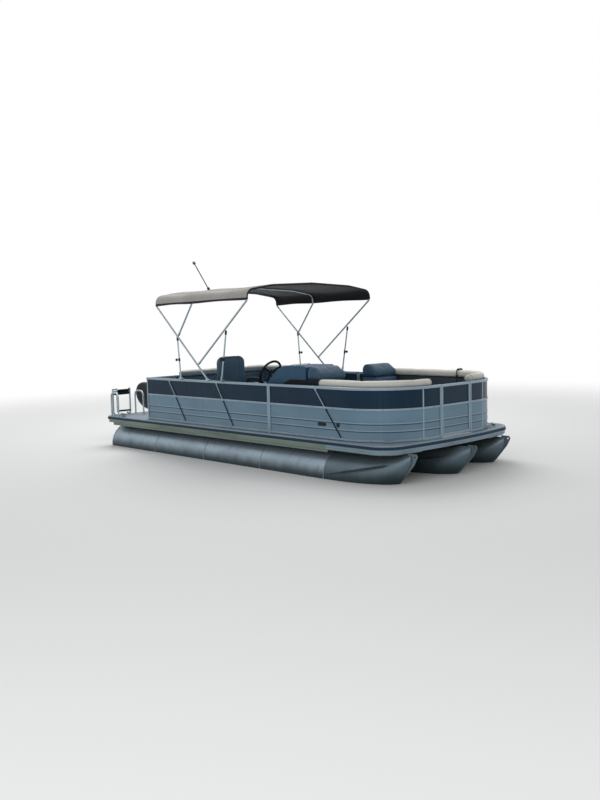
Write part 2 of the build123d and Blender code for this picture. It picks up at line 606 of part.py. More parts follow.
CLOTH_T = 3.0
half_arch = [(-TOP_Y, -60.0)] + [(y, CROWN_RISE * share) for y, share in ARCH]
arch = half_arch + [(-y, z) for y, z in reversed(half_arch[:-1])]
shells = []
for by in (TOP_R + 1.0, TOP_R + 1.0 + CLOTH_T):
    edge = grown(arch, by)
    curve = path([(0, y, z) for y, z in edge], [110 + by, 900 + by, 1500 + by, 900 + by, 110 + by])
    shells.append(Face(Wire(list(curve.edges()) + [Edge.make_line((0, *edge[-1]), (0, *edge[0]))])))
x0, z0 = REAR_CORNER[0] - 20, REAR_CORNER[1]
x1, z1 = FRONT_CORNER[0] + 20, FRONT_CORNER[1]
way = Vector(x1 - x0, 0, z1 - z0)
outer = extrude(Pos(x0, 0, z0) * shells[1], amount=way.length, dir=way)
inner = extrude(Pos(x0, 0, z0) * shells[0], amount=way.length, dir=way)
trim = side_plate([(x0, z0), (x1, z1), (x1, z1 + 500), (x0, z0 + 500)], -1400, 1400)
canopy = (outer - inner) & trim
save("canopy", canopy)

light_foot = (-1599, -200, REAR_CORNER[1] + CROWN_RISE - 10)
light = rod(light_foot, (-1990, -200, 2900), 8) + rod(light_foot, (-1640, -200, light_foot[2] + 66), 17)
light += Pos(-1990, -200, 2900) * Sphere(24)
light = light - rear_bow - outer
save("light_pole", max(light.solids(), key=lambda piece: piece.volume))

# Helm console and wheel
console_side = [(600, 480), (600, 1040), (640, 1128), (890, 1325), (980, 1352), (1340, 1356),
                (1375, 1340), (1375, 480)]
console = side_plate(console_side, 155 - FENCE_HALF, 685 - FENCE_HALF)
console = fillet(console.edges().filter_by(Axis.Y).group_by(Axis.Z)[-1], 20)
WHEEL_AT = Vector(420, 0, 1235)
WHEEL_WAY = Vector(-cos(radians(28)), 0, sin(radians(28)))
WHEEL_Y = 415.0 - FENCE_HALF
wheel_at = Vector(WHEEL_AT.X, WHEEL_Y, WHEEL_AT.Z)
boss_end = wheel_at - WHEEL_WAY * 60
console += rod(tuple(wheel_at - WHEEL_WAY * 380), tuple(boss_end), 32)
save("helm_console", console)
wheel_plane = Plane(origin=wheel_at, z_dir=WHEEL_WAY, x_dir=(0, 1, 0))
wheel = wheel_plane * Torus(175, 15)
hub = rod(tuple(boss_end), tuple(boss_end + WHEEL_WAY * 66), 38)
for turn in (90, 210, 330):
    spoke = Box(150, 24, 9)
    wheel += wheel_plane * (Rot(0, 0, turn) * (Pos(95, 0, 0) * spoke))
save("steering_wheel", wheel + hub)

# Captain's chair
CHAIR = (-225.0, 455.0 - FENCE_HALF)
pedestal = rod((*CHAIR, DECK_TOP), (*CHAIR, DECK_TOP + 14), 150)
pedestal += rod((*CHAIR, DECK_TOP), (*CHAIR, DECK_TOP + 330), 38)
save("chair_pedestal", pedestal)
cx, cy = CHAIR
seat = box(cx - 240, cx + 250, cy - 240, cy + 240, DECK_TOP + 330, DECK_TOP + 460)
seat = fillet(seat.edges().group_by(Axis.Z)[-1], 30)
back = side_plate([(cx - 290, DECK_TOP + 400), (cx - 200, DECK_TOP + 400), (cx - 215, DECK_TOP + 970),
                   (cx - 300, DECK_TOP + 970)], cy - 235, cy + 235)
back = fillet(back.edges().filter_by(Axis.X).group_by(Axis.Z)[-1], 60)
seat += back
for side in (-1, 1):
    y0, y1 = sorted((cy + side * 240, cy + side * 285))
    arm = box(cx - 230, cx + 130, y0, y1, DECK_TOP + 400, DECK_TOP + 660)
    seat += arm - box(cx - 150, cx + 60, y0 - 1, y1 + 1, DECK_TOP + 480, DECK_TOP + 600)
save("captain_chair", seat)

# Lounges
BASE_TOP = DECK_TOP + 330.0
SEAT_TOP = DECK_TOP + 440.0
BACK_TOP = DECK_TOP + 722.0
BACK_Y = FENCE_HALF - 150
SEAT_Y = BACK_Y - 5
FRONT_Y = FENCE_HALF - 645
NOSE_X = FENCE_BOW_X - 150
AFT_X = FENCE_AFT_X + 34
STERN_SEAT_Y = STERN_GATE_Y[1] + 45


def fence_inside(depth, z0, z1, x0, x1, y0, y1):
    return fence_slab(-depth, z0, z1) & box(x0, x1, y0, y1, z0 - 1, z1 + 1)


# name, (x0, x1, y0, y1) of the base, (x0, x1, y0, y1) of its storage
BASES = [
    ("starboard_bow", (1382, NOSE_X, -OUT_Y, -FRONT_Y), (1730, 2170, 10 - SEAT_Y, -20 - FRONT_Y)),
    ("port_bow", (865, NOSE_X, FRONT_Y, OUT_Y), (1230, 1640, FRONT_Y + 20, SEAT_Y - 10)),
    ("port_aft", (AFT_X, -120, FRONT_Y, OUT_Y), (-1040, -200, FRONT_Y + 20, SEAT_Y - 10)),
]
bases = []
for name, (x0, x1, y0, y1), (u0, u1, v0, v1) in BASES:
    base = fence_inside(32, DECK_TOP, BASE_TOP, x0, x1, y0, y1)
    bases.append(base - box(u0, u1, v0, v1, DECK_TOP + 40, BASE_TOP + 5))
stern_base = box(AFT_X, -1330, STERN_SEAT_Y, FRONT_Y - 5, DECK_TOP, BASE_TOP)
save("lounge_bases", *bases[:2], bases[2] + stern_base)

back_ring = fence_ring(-30, -150, BASE_TOP, BACK_TOP)
back_ring = fillet(back_ring.edges().group_by(Axis.Z)[-1], 40)
starboard_back = back_ring & box(1706, PAST_X, -OUT_Y, -400, BASE_TOP, BACK_TOP + 5)
port_back = back_ring & box(865, PAST_X, 400, OUT_Y, BASE_TOP, BACK_TOP + 5)
aft_back = back_ring & box(FENCE_AFT_X, -120, STERN_SEAT_Y, OUT_Y, BASE_TOP, BACK_TOP + 5)
save("lounge_backrests", starboard_back, port_back, aft_back)


def head_rest(x0, x1, y0, y1, z1):
    low = BASE_TOP
    side = [(x0, low), (x0, z1 - 60), (x0 + 40, z1), (x1 - 190, z1), (x1 - 60, z1 - 90), (x1, low)]
    return side_plate(side, y0, y1)


save("lounge_headrests", head_rest(1382, 1700, -SEAT_Y, -5 - FRONT_Y, DECK_TOP + 870),
     head_rest(870, 1200, FRONT_Y + 5, SEAT_Y, DECK_TOP + 810))

# Each lid turns on the axis of the round along its top edge beside the backrest.
LID_ROUND = 22.0
# name, x0, x1, y0, y1
LIDS = [
    ("starboard_bow", 1706, 2190, -SEAT_Y, -FRONT_Y),
    ("port_bow", 1210, 1700, FRONT_Y, SEAT_Y),
    ("port_aft", -1060, -180, FRONT_Y, SEAT_Y),
]
for name, x0, x1, y0, y1 in LIDS:
    lid = box(x0, x1, y0, y1, BASE_TOP + 0.2, SEAT_TOP)
    heel = lid.edges().filter_by(Axis.X).group_by(Axis.Z)[0].sort_by(Axis.Y)[0 if y0 < 0 else -1]
    lid = fillet(heel, 20)
    save(f"seat_lid_{name}", fillet(lid.edges().group_by(Axis.Z)[-1], LID_ROUND))
fixed = [
    fence_inside(155, BASE_TOP, SEAT_TOP, 2196, NOSE_X, -OUT_Y, -FRONT_Y),
    fence_inside(155, BASE_TOP, SEAT_TOP, 1706, NOSE_X, FRONT_Y, OUT_Y),
    box(AFT_X + 120, -1330, STERN_SEAT_Y, SEAT_Y, BASE_TOP, SEAT_TOP)
    + box(-1330, -1066, FRONT_Y, SEAT_Y, BASE_TOP, SEAT_TOP),
    box(-174, -120, FRONT_Y, SEAT_Y, BASE_TOP, SEAT_TOP),
]
save("seat_cushions", *fixed)

# Motor
pod_end = TUBE_AFT_X - 0.2
pod = side_plate([(TRANSOM_X, TRANSOM_TOP), (TRANSOM_X + 45, TRANSOM_TOP), (-2990, 372), (pod_end, 372),
                  (pod_end, -180), (TRANSOM_X, -60)], -230, 230)
save("motor_pod", pod)

tx, tz = TILT_AXIS
clamps = []
for side in (-1, 1):
    y0, y1 = sorted((side * 112, side * 128))
    shape = [(TRANSOM_X, -20), (TRANSOM_X, TRANSOM_TOP), (TRANSOM_X + 44, TRANSOM_TOP),
             (TRANSOM_X + 44, 368), (tx + 18, tz + 26), (tx - 22, tz + 26), (tx - 60, 300), (tx - 60, 40)]
    clamps.append(side_plate(shape, y0, y1))
clamp = clamps[0] + clamps[1] + rod((tx, -140, tz), (tx, 140, tz), 15)
save("clamp_brackets", clamp)

swivel = rod((tx, -108, tz), (tx, 108, tz), 30)
arm = side_plate([(tx + 20, tz + 12), (tx - 10, tz + 26), (STEER_X + 30, 350), (STEER_X + 30, 40),
                  (STEER_X + 60, 40), (tx - 30, 250), (tx - 10, 365)], -95, 95)
swivel += arm + rod((STEER_X, 0, 30), (STEER_X, 0, 356), 42)
swivel -= rod((STEER_X, 0, 0), (STEER_X, 0, 400), 22.05)
swivel -= rod((tx, -200, tz), (tx, 200, tz), 15.05)
save("swivel_bracket", swivel)

leg_top = Pos(STEER_X - 200, 0, 446) * RectangleRounded(300, 190, 70)
leg_mid = Pos(STEER_X - 180, 0, 40) * RectangleRounded(250, 130, 50)
leg_low = Pos(STEER_X - 165, 0, -300) * RectangleRounded(250, 70, 30)
leg = loft([leg_low, leg_mid]) + loft([leg_mid, leg_top]) - rod((STEER_X, 0, 28), (STEER_X, 0, 358), 50)
shaft = rod((STEER_X, 0, 4), (STEER_X, 0, 382), 22)
yoke_top = box(STEER_X - 80, STEER_X - 8, -50, 50, 358, 392) + rod((STEER_X, 0, 358), (STEER_X, 0, 392), 32)
yoke_low = box(STEER_X - 90, STEER_X + 34, -50, 50, -6, 28)
leg = leg + shaft + yoke_top + yoke_low
save("motor_leg", leg)

plate = Pos(STEER_X - 185, 0, -309) * extrude(RectangleRounded(380, 220, 80), amount=9)
gear = rod((STEER_X - 30, 0, PROP_Z), (STEER_X - 330, 0, PROP_Z), 48)
gear += Pos(STEER_X - 30, 0, PROP_Z) * Sphere(48)
gear += side_plate([(STEER_X - 50, -300), (STEER_X - 280, -300), (STEER_X - 260, PROP_Z),
                    (STEER_X - 50, PROP_Z)], -18, 18)
gear += side_plate([(STEER_X - 60, PROP_Z), (STEER_X - 250, PROP_Z), (STEER_X - 250, PROP_Z - 235),
                    (STEER_X - 190, PROP_Z - 235)], -5, 5)
gear += plate
gear += rod((STEER_X - 320, 0, PROP_Z), (STEER_X - 430, 0, PROP_Z), 12)
gear = gear - leg
save("gearcase", max(gear.solids(), key=lambda piece: piece.volume))

# z, x centre, length, width, corner radius of each cowl station
COWL = [
    (446, -3425, 430, 250, 100),
    (500, -3475, 570, 340, 120),
    (640, -3515, 715, 420, 130),
    (790, -3520, 725, 430, 130),
    (880, -3505, 655, 390, 120),
    (920, -3480, 520, 300, 110),
]
cowl = loft([Pos(x, 0, z) * RectangleRounded(long, wide, r) for z, x, long, wide, r in COWL])
save("motor_cowl", cowl)

hub_x = STEER_X - 335
prop = rod((hub_x, 0, PROP_Z), (hub_x - 90, 0, PROP_Z), 42)
prop -= rod((hub_x + 10, 0, PROP_Z), (hub_x - 100, 0, PROP_Z), 12.05)
# radius, chord, thickness, pitch angle
BLADE = [(36, 70, 12, 58), (100, 150, 8, 36), (166, 90, 4, 25)]


def blade_section(r, chord, thick, pitch):
    a = Edge.make_three_point_arc((-chord / 2, 0, 0), (0, thick / 2, 0), (chord / 2, 0, 0))
    b = Edge.make_three_point_arc((chord / 2, 0, 0), (0, -thick / 2, 0), (-chord / 2, 0, 0))
    return Pos(hub_x - 45, 0, PROP_Z + r) * (Rot(0, 0, pitch) * Face(Wire([a, b])))


blade = loft([blade_section(*row) for row in BLADE])
for turn in (0, 120, 240):
    prop += Pos(0, 0, PROP_Z) * (Rot(turn, 0, 0) * (Pos(0, 0, -PROP_Z) * blade))
save("propeller", prop)

# Cleats on the deck edge
cleats = []
BOW_CLEAT = (BOW_X - 239, HALF_BEAM - 227)
# x, y, degrees turned, height of the bar above the deck
CLEATS = [
    (BOW_CLEAT[0], -BOW_CLEAT[1], 42, 20),
    (BOW_CLEAT[0], BOW_CLEAT[1], -42, 20),
    (-2600, 50 - HALF_BEAM, 0, 44),
    (-2600, HALF_BEAM - 50, 0, 44),
]
for x, y, turn, high in CLEATS:
    bar_z = DECK_TOP + high
    cleat = box(-45, 45, -16, 16, DECK_TOP, DECK_TOP + 8) + rod((-80, 0, bar_z), (80, 0, bar_z), 10)
    for foot_x in (-22, 22):
        cleat += rod((foot_x, 0, DECK_TOP), (foot_x, 0, bar_z - 4), 9)
    cleats.append(Pos(x, y, 0) * Rot(0, 0, turn) * cleat)
save("deck_cleats", *cleats)
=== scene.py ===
"""Looks of a twenty-foot pontoon boat with three tubes, laid out as a Blender add-on.

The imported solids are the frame, in metres, with the waterline at z = 0, the bow at +x and port at +y.
Each operator makes one group of pieces: finishes for the solids, the sun top's cloth, lounges, chair,
fence trim, top fittings, helm, hull trim, motor trim, base trim and the stage. The panel in the sidebar
runs them one at a time.
"""

import math

import bmesh
import bpy
import numpy as np
from mathutils import Matrix, Vector


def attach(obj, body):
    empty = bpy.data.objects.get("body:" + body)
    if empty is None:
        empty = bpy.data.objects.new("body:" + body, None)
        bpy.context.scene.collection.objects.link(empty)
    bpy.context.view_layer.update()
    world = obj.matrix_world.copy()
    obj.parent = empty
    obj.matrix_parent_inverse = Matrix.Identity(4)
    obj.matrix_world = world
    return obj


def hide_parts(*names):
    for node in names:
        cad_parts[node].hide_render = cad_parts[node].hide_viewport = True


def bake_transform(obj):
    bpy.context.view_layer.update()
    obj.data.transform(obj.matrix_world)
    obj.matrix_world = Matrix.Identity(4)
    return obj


bl_info = {
    "name": "Pontoon boat looks",
    "version": (1, 0, 0),
    "blender": (4, 5, 0),
    "location": "View3D > Sidebar > Pontoon",
    "description": "Finishes, soft goods, fittings and stage of a pontoon boat",
    "category": "Object",
}

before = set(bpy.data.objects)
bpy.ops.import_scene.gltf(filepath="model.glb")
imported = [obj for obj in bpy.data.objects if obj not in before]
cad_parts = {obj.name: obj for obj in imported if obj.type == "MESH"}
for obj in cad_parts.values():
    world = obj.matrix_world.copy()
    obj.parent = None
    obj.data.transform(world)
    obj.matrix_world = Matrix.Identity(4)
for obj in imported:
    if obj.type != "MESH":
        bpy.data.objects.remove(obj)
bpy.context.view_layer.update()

SIDES = ((-1, "starboard"), (1, "port"))

# Outline of the fence, in metres: straight sides, a corner arc and one wide arc across the bow.
FENCE_HALF = 1.205
FENCE_CORNER = 0.720
FENCE_BOW = 2.930
BOW_SWEEP = 8.000
CORNER_Y = FENCE_HALF - FENCE_CORNER
HUB_X = FENCE_BOW - BOW_SWEEP
CORNER_X = HUB_X + math.sqrt((BOW_SWEEP - FENCE_CORNER) ** 2 - CORNER_Y**2)
BOW_ANGLE = math.atan2(CORNER_Y, CORNER_X - HUB_X)
CORNER_TURN = math.pi / 2 - BOW_ANGLE

# Fence: heights of its screws' foot rail, the middle rail, the ends of the braces and the ribs pressed in
# the lower panels; the braces as (top x, foot x, side); the gates' openings.
FOOT_RAIL_Z, MID_RAIL_Z = 0.5005, 0.869
BRACE_Z = (0.500, 1.108)
RIB_Z = (0.613, 0.701)
BRACES = ((-1.378, -0.975, -1), (-0.257, 0.114, -1), (1.687, 2.140, -1), (-1.378, -0.975, 1), (1.687, 2.140, 1))
PORT_GATE = (0.250, 0.850)
BOW_GATE_HALF = 0.298

# Lounges: insets from the fence of the backrests' two faces and the seats' rear, and the y and heights
# of the bases, seats and rolls.
BACK_OUTER, BACK_INNER, SEAT_BACK = 0.032, 0.150, 0.158
BASE_Y, SEAT_Y, SEAT_REAR_Y = 0.560, 0.562, 1.047
BASE_TOP, SEAT_TOP, BACK_TOP = 0.811, 0.918, 1.200

# Hull: the tubes' centres and radius, where the side skirts end and their height at the deck's edge.
TUBE_Y, TUBE_Z, TUBE_R = (-0.969, 0.0, 0.969), 0.0175, 0.3182
SKIRT_END, SKIRT_TOP = 1.930, 0.426

# Sun top: y of its side tubes; pins, struts and the three bows in the side view as (x, z); rows of points
# in each end of the cloth that is rolled round a bow.
TOP_Y, SLEEVE_ROWS = 1.222, 14
FRONT_PIN, MID_PIN = (-0.6141, 1.3591), (-1.0741, 1.7651)
REAR_STRUT = ((-1.055, 1.136), (-1.106, 1.748))
FRONT_STRUT = ((-0.106, 1.154), (0.020, 1.828))
BOW_X = (-1.599, -0.735, 0.475)

# Helm and chair: the dash's lower and upper edge as (x, z) and its middle's y; the console's port side; the
# wheel's middle, radius and rake in degrees; the chair's middle.
DASH_LOW, DASH_HIGH, DASH_Y = (0.640, 1.128), (0.890, 1.325), -0.785
CONSOLE_PORT_Y = -0.520
WHEEL, WHEEL_R, WHEEL_RAKE = (0.420, -0.790, 1.235), 0.175, 28
CHAIR_X, CHAIR_Y = -0.225, -0.750

# Camera: its place, its yaw, pitch and roll, and its focal length and picture height in pixels.
CAMERA_PLACE, CAMERA_TURN = (9.1151, -8.6333, 1.9244), (-0.80298, 0.09181, -0.02511)
CAMERA_FOCUS, PHOTO_HEIGHT, SENSOR = 853.48, 800, 36.0

# A wave texture of scale 1 has a wave every 0.314 m.
WAVE_LENGTH = 0.314


# Colours and shader nodes


def linear(code):
    """The linear colour of an sRGB code such as #a0b1c2, or of a main colour that the settings name."""
    if not code.startswith("#"):
        return [*getattr(bpy.context.scene.pontoon_colours, code), 1.0]
    values = [int(code[k : k + 2], 16) / 255 for k in (1, 3, 5)]
    return [v / 12.92 if v <= 0.04045 else ((v + 0.055) / 1.055) ** 2.4 for v in values] + [1.0]


def shaded(colour, share):
    """The colour made darker or lighter by a share."""
    return [c * share for c in linear(colour)[:3]] + [1.0]


def add_node(tree, kind, inputs, output=0, **settings):
    """Add a shader node with its settings, set or link its inputs by number or name, and return one of its
    outputs. A text is a colour."""
    made = tree.nodes.new("ShaderNode" + kind)
    for key, value in settings.items():
        setattr(made, key, value)
    for key, value in inputs.items() if isinstance(inputs, dict) else enumerate(inputs):
        if isinstance(value, bpy.types.NodeSocket):
            tree.links.new(value, made.inputs[key])
        else:
            made.inputs[key].default_value = linear(value) if isinstance(value, str) else value
    return made.outputs[output]


def layered(tree, under, over, value, low, high, share=1.0):
    """One colour laid over another where a value runs from low to high: smooth between, up to a share."""
    mask = add_node(tree, "MapRange", (value, low, high), interpolation_type="SMOOTHSTEP")
    if share < 1:
        mask = add_node(tree, "Math", (mask, share), operation="MULTIPLY")
    return add_node(tree, "Mix", {0: mask, 6: under, 7: over}, 2, data_type="RGBA")


def speckle(tree, where, scale, detail=3.0, stretch=(1, 1, 1), roughness=0.5):
    """Noise with a size of one over scale metres, stretched along axes with a small factor."""
    spread = add_node(tree, "Mapping", {"Vector": where, "Scale": stretch})
    looks = {"Vector": spread, "Scale": scale, "Detail": detail, "Roughness": roughness}
    return add_node(tree, "TexNoise", looks, "Fac")


def start_material(name, roughness, metallic=0.0, **sockets):
    """A new material with its tree and object coordinates; sockets set constants on its shader."""
    made = bpy.data.materials.new(name)
    made.use_nodes = True
    for key, value in dict(sockets, Roughness=roughness, Metallic=metallic).items():
        made.node_tree.nodes["Principled BSDF"].inputs[key.replace("_", " ")].default_value = value
    return made, made.node_tree, made.node_tree.nodes.new("ShaderNodeTexCoord").outputs["Object"]


def finished(made, shade, height, strength, depth, rough=None):
    """The material with its colour and a bump of that depth in metres. Rough is a value, its range and
    the range of roughness that follows it."""
    tree, shader = made.node_tree, made.node_tree.nodes["Principled BSDF"].inputs
    tree.links.new(shade, shader["Base Color"])
    bump = add_node(tree, "Bump", {"Height": height, "Strength": strength, "Distance": depth})
    tree.links.new(bump, shader["Normal"])
    if rough:
        tree.links.new(add_node(tree, "MapRange", rough), shader["Roughness"])
    return made


def bare_metal(name, colour, roughness, grain=(0.02, 1, 1), metallic=0.75, film_and_reflection=0.0, foot=0.0):
    """Mill or anodised aluminium: drawn grain and cloudy oxide. Tubes have rain runs and a dark film that
    thins out up to a height over the water: partly a waterline stain and partly painted reflection of the
    dark water, darker toward the bottom. The deck's edge, aft of the bow and below its foot height, has
    the skirt's weathered green grey."""
    made, tree, where = start_material(name, roughness, metallic)
    lines = speckle(tree, where, 420, 4, grain)
    cloud = speckle(tree, where, 2.6, 5, (1, 1, 1.6))
    shade = layered(tree, colour, shaded(colour, 0.78), cloud, 0.38, 0.68)
    shade = layered(tree, shade, shaded(colour, 1.12), lines, 0.3, 0.75)
    # Partly a waterline stain and partly painted reflection of the dark water: darker toward the bottom.
    if film_and_reflection:
        z = add_node(tree, "SeparateXYZ", (where,), 2)
        runs = speckle(tree, where, 16, 4, (1, 1, 0.06))
        shade = layered(tree, shade, "#55646a", runs, 0.52, 0.78, 0.42)
        stain_and_reflection = add_node(tree, "Math", (runs, 0.05, z), operation="MULTIPLY_ADD")
        shade = layered(tree, shade, "#3c4d55", stain_and_reflection, film_and_reflection, 0.02, 0.72)
        low_stain_and_reflection = speckle(tree, where, 7, 4, (1, 1, 0.3))
        low_stain_and_reflection = add_node(tree, "Math", (low_stain_and_reflection, -0.09, z), operation="MULTIPLY_ADD")
        shade = layered(tree, shade, "#2b3a3d", low_stain_and_reflection, 0.135, -0.03, 0.86)
    if foot:
        x, z = (add_node(tree, "SeparateXYZ", (where,), axis) for axis in (0, 2))
        aft = add_node(tree, "Math", (SKIRT_END, x), operation="GREATER_THAN")
        low = add_node(tree, "Math", (foot, z), operation="GREATER_THAN")
        both = add_node(tree, "Math", (aft, low), operation="MULTIPLY")
        green = layered(tree, "#7b8a80", "#66746b", speckle(tree, where, 5.0, 5, (0.3, 1, 1)), 0.35, 0.7)
        shade = layered(tree, shade, green, both, 0, 1)
    wear = add_node(tree, "Math", (lines, cloud))
    return finished(made, shade, lines, 0.12, 0.0004, (wear, 0.6, 1.4, roughness - 0.07, roughness + 0.12))


def sheet_paint(name, colour, roughness, dust, ribs, shine):
    """Coated aluminium sheet: slight waves of rolling, rain runs, and dust toward the deck. Each rib has
    painted shade in the crease below it and a painted highlight on its upper edge."""
    made, tree, where = start_material(
        name, roughness, 0.1, Coat_Weight=shine / 3, Coat_Roughness=0.22, Specular_IOR_Level=shine)
    runs = speckle(tree, where, 22, 5, (1, 1, 0.05))
    shade = layered(tree, colour, shaded(colour, 0.86), speckle(tree, where, 1.7, 4, (1, 1, 2)), 0.35, 0.7)
    shade = layered(tree, shade, dust, runs, 0.55, 0.8, 0.16)
    height = add_node(tree, "SeparateXYZ", (where,), 2)
    low = add_node(tree, "Math", (runs, 0.08, height), operation="MULTIPLY_ADD")
    shade = layered(tree, shade, dust, low, 0.64, 0.53, 0.22)
    # Painted shade below each rib and a painted highlight along its upper edge.
    for rib in ribs:
        for level, half, rib_shade_and_highlight, share in ((rib - 0.011, 0.0055, "#22303b", 0.85), (rib + 0.005, 0.0035, "#b9c6cc", 0.5)):
            band = add_node(tree, "Math", (height, level, half), operation="COMPARE")
            shade = layered(tree, shade, rib_shade_and_highlight, band, 0, 1, share)
    peel = add_node(tree, "Math", (speckle(tree, where, 900, 2), speckle(tree, where, 3.0, 2, (1, 1, 2))))
    return finished(made, shade, peel, 0.08, 0.0012)


def marine_vinyl(name, colour, worn):
    """Upholstery vinyl: leather grain of 2 mm cells, soft creases, and wear on the grain's high spots."""
    made, tree, where = start_material(name, 0.5, Sheen_Weight=0.05, Sheen_Roughness=0.5, Specular_IOR_Level=0.35)
    cells = {"Vector": where, "Scale": 420}
    cells = add_node(tree, "TexVoronoi", cells, "Distance", feature="DISTANCE_TO_EDGE")
    fold = speckle(tree, where, 9, 6, (1, 1, 1), 0.62)
    shade = layered(tree, colour, shaded(colour, 0.84), speckle(tree, where, 2.2, 4), 0.35, 0.72)
    shade = layered(tree, shade, worn, fold, 0.6, 0.74, 0.25)
    shade = layered(tree, shade, shaded(colour, 0.45), cells, 0.12, 0.0, 0.22)
    crown = add_node(tree, "MapRange", (cells, 0.0, 0.25, 0.0, 0.3), interpolation_type="SMOOTHSTEP")
    height = add_node(tree, "Math", (fold, 3.0, crown), operation="MULTIPLY_ADD")
    return finished(made, shade, height, 0.35, 0.0008, (fold, 0.3, 0.7, 0.42, 0.6))


def woven_acrylic(name, colour, faded, pitch=0.0011):
    """Cloth or webbing: a plain weave of yarns that far apart, faded and dusty in clouds."""
    made, tree, where = start_material(name, 0.86, Sheen_Weight=0.15, Sheen_Roughness=0.6, Specular_IOR_Level=0.2)
    threads = {"Vector": where, "Scale": WAVE_LENGTH / pitch, "Distortion": 0.6, "Detail": 1}
    warp, weft = (add_node(tree, "TexWave", threads, "Fac", bands_direction=axis) for axis in "XY")
    yarn = add_node(tree, "Math", (warp, weft), operation="MULTIPLY")
    shade = layered(tree, colour, faded, speckle(tree, where, 1.9, 6, (1, 1.3, 1), 0.6), 0.32, 0.7)
    lit = add_node(tree, "Math", (yarn, 0.22), operation="MULTIPLY")
    shade = add_node(tree, "Mix", {0: lit, 6: shade, 7: shaded(colour, 1.5)}, 2, data_type="RGBA")
    shade = layered(tree, shade, "#3b3733", speckle(tree, where, 38, 3), 0.68, 0.78, 0.3)
    height = add_node(tree, "Math", (speckle(tree, where, 5, 5), 8.0, yarn), operation="MULTIPLY_ADD")
    return finished(made, shade, height, 0.4, 0.0006)


def deck_weave(name, colour, fleck):
    """Woven deck vinyl: flecked yarns 4 mm apart, with grit trodden into it."""
    made, tree, where = start_material(name, 0.72)
    yarns = {"Vector": where, "Scale": WAVE_LENGTH / 0.004, "Distortion": 1.5, "Detail": 2}
    yarn = add_node(tree, "TexWave", yarns, "Fac", bands_direction="X")
    grit = speckle(tree, where, 520, 2)
    shade = layered(tree, colour, fleck, grit, 0.45, 0.62)
    shade = layered(tree, shade, "#5d5f5c", speckle(tree, where, 1.4, 5), 0.5, 0.75, 0.25)
    return finished(made, shade, add_node(tree, "Math", (yarn, grit)), 0.5, 0.0007)


def plywood(name):
    """Marine plywood: plies 2.7 mm thick with long grain, darkened by water."""
    made, tree, where = start_material(name, 0.7)
    plies = {"Vector": where, "Scale": WAVE_LENGTH / 0.0054, "Distortion": 0.4, "Detail": 1}
    ply = add_node(tree, "TexWave", plies, "Fac", bands_direction="Z")
    grain = speckle(tree, where, 60, 5, (0.06, 1, 1))
    shade = layered(tree, "#8b6f4c", "#5e4630", ply, 0.35, 0.65)
    return finished(made, layered(tree, shade, "#3f3122", grain, 0.4, 0.7), grain, 0.3, 0.0008)


def moulded(name, colour, roughness, pebble=700, depth=0.0004, worn=0.2, shine=0.5):
    """Moulded plastic, rubber or sprayed metal: fine pebble, scuffs and a bloom of dust."""
    made, tree, where = start_material(name, roughness, Specular_IOR_Level=shine)
    scuff = speckle(tree, where, 34, 6, (0.35, 1, 1), 0.65)
    shade = layered(tree, colour, shaded(colour, 0.8), speckle(tree, where, 3.1, 5), 0.35, 0.75)
    shade = layered(tree, shade, "#a4aaac", scuff, 0.6, 0.75, worn)
    rough = (scuff, 0.35, 0.75, roughness - 0.06, roughness + 0.14)
    return finished(made, shade, speckle(tree, where, pebble, 2), 0.3, depth, rough)


def lens(name, colour):
    """Clear acrylic of a lamp, with fine scratches."""
    made, tree, where = start_material(name, 0.08, Transmission_Weight=0.75, IOR=1.49)
    marks = speckle(tree, where, 220, 4, (1, 1, 0.1))
    return finished(made, layered(tree, colour, shaded(colour, 0.8), marks, 0.62, 0.8), marks, 0.05, 0.0002)


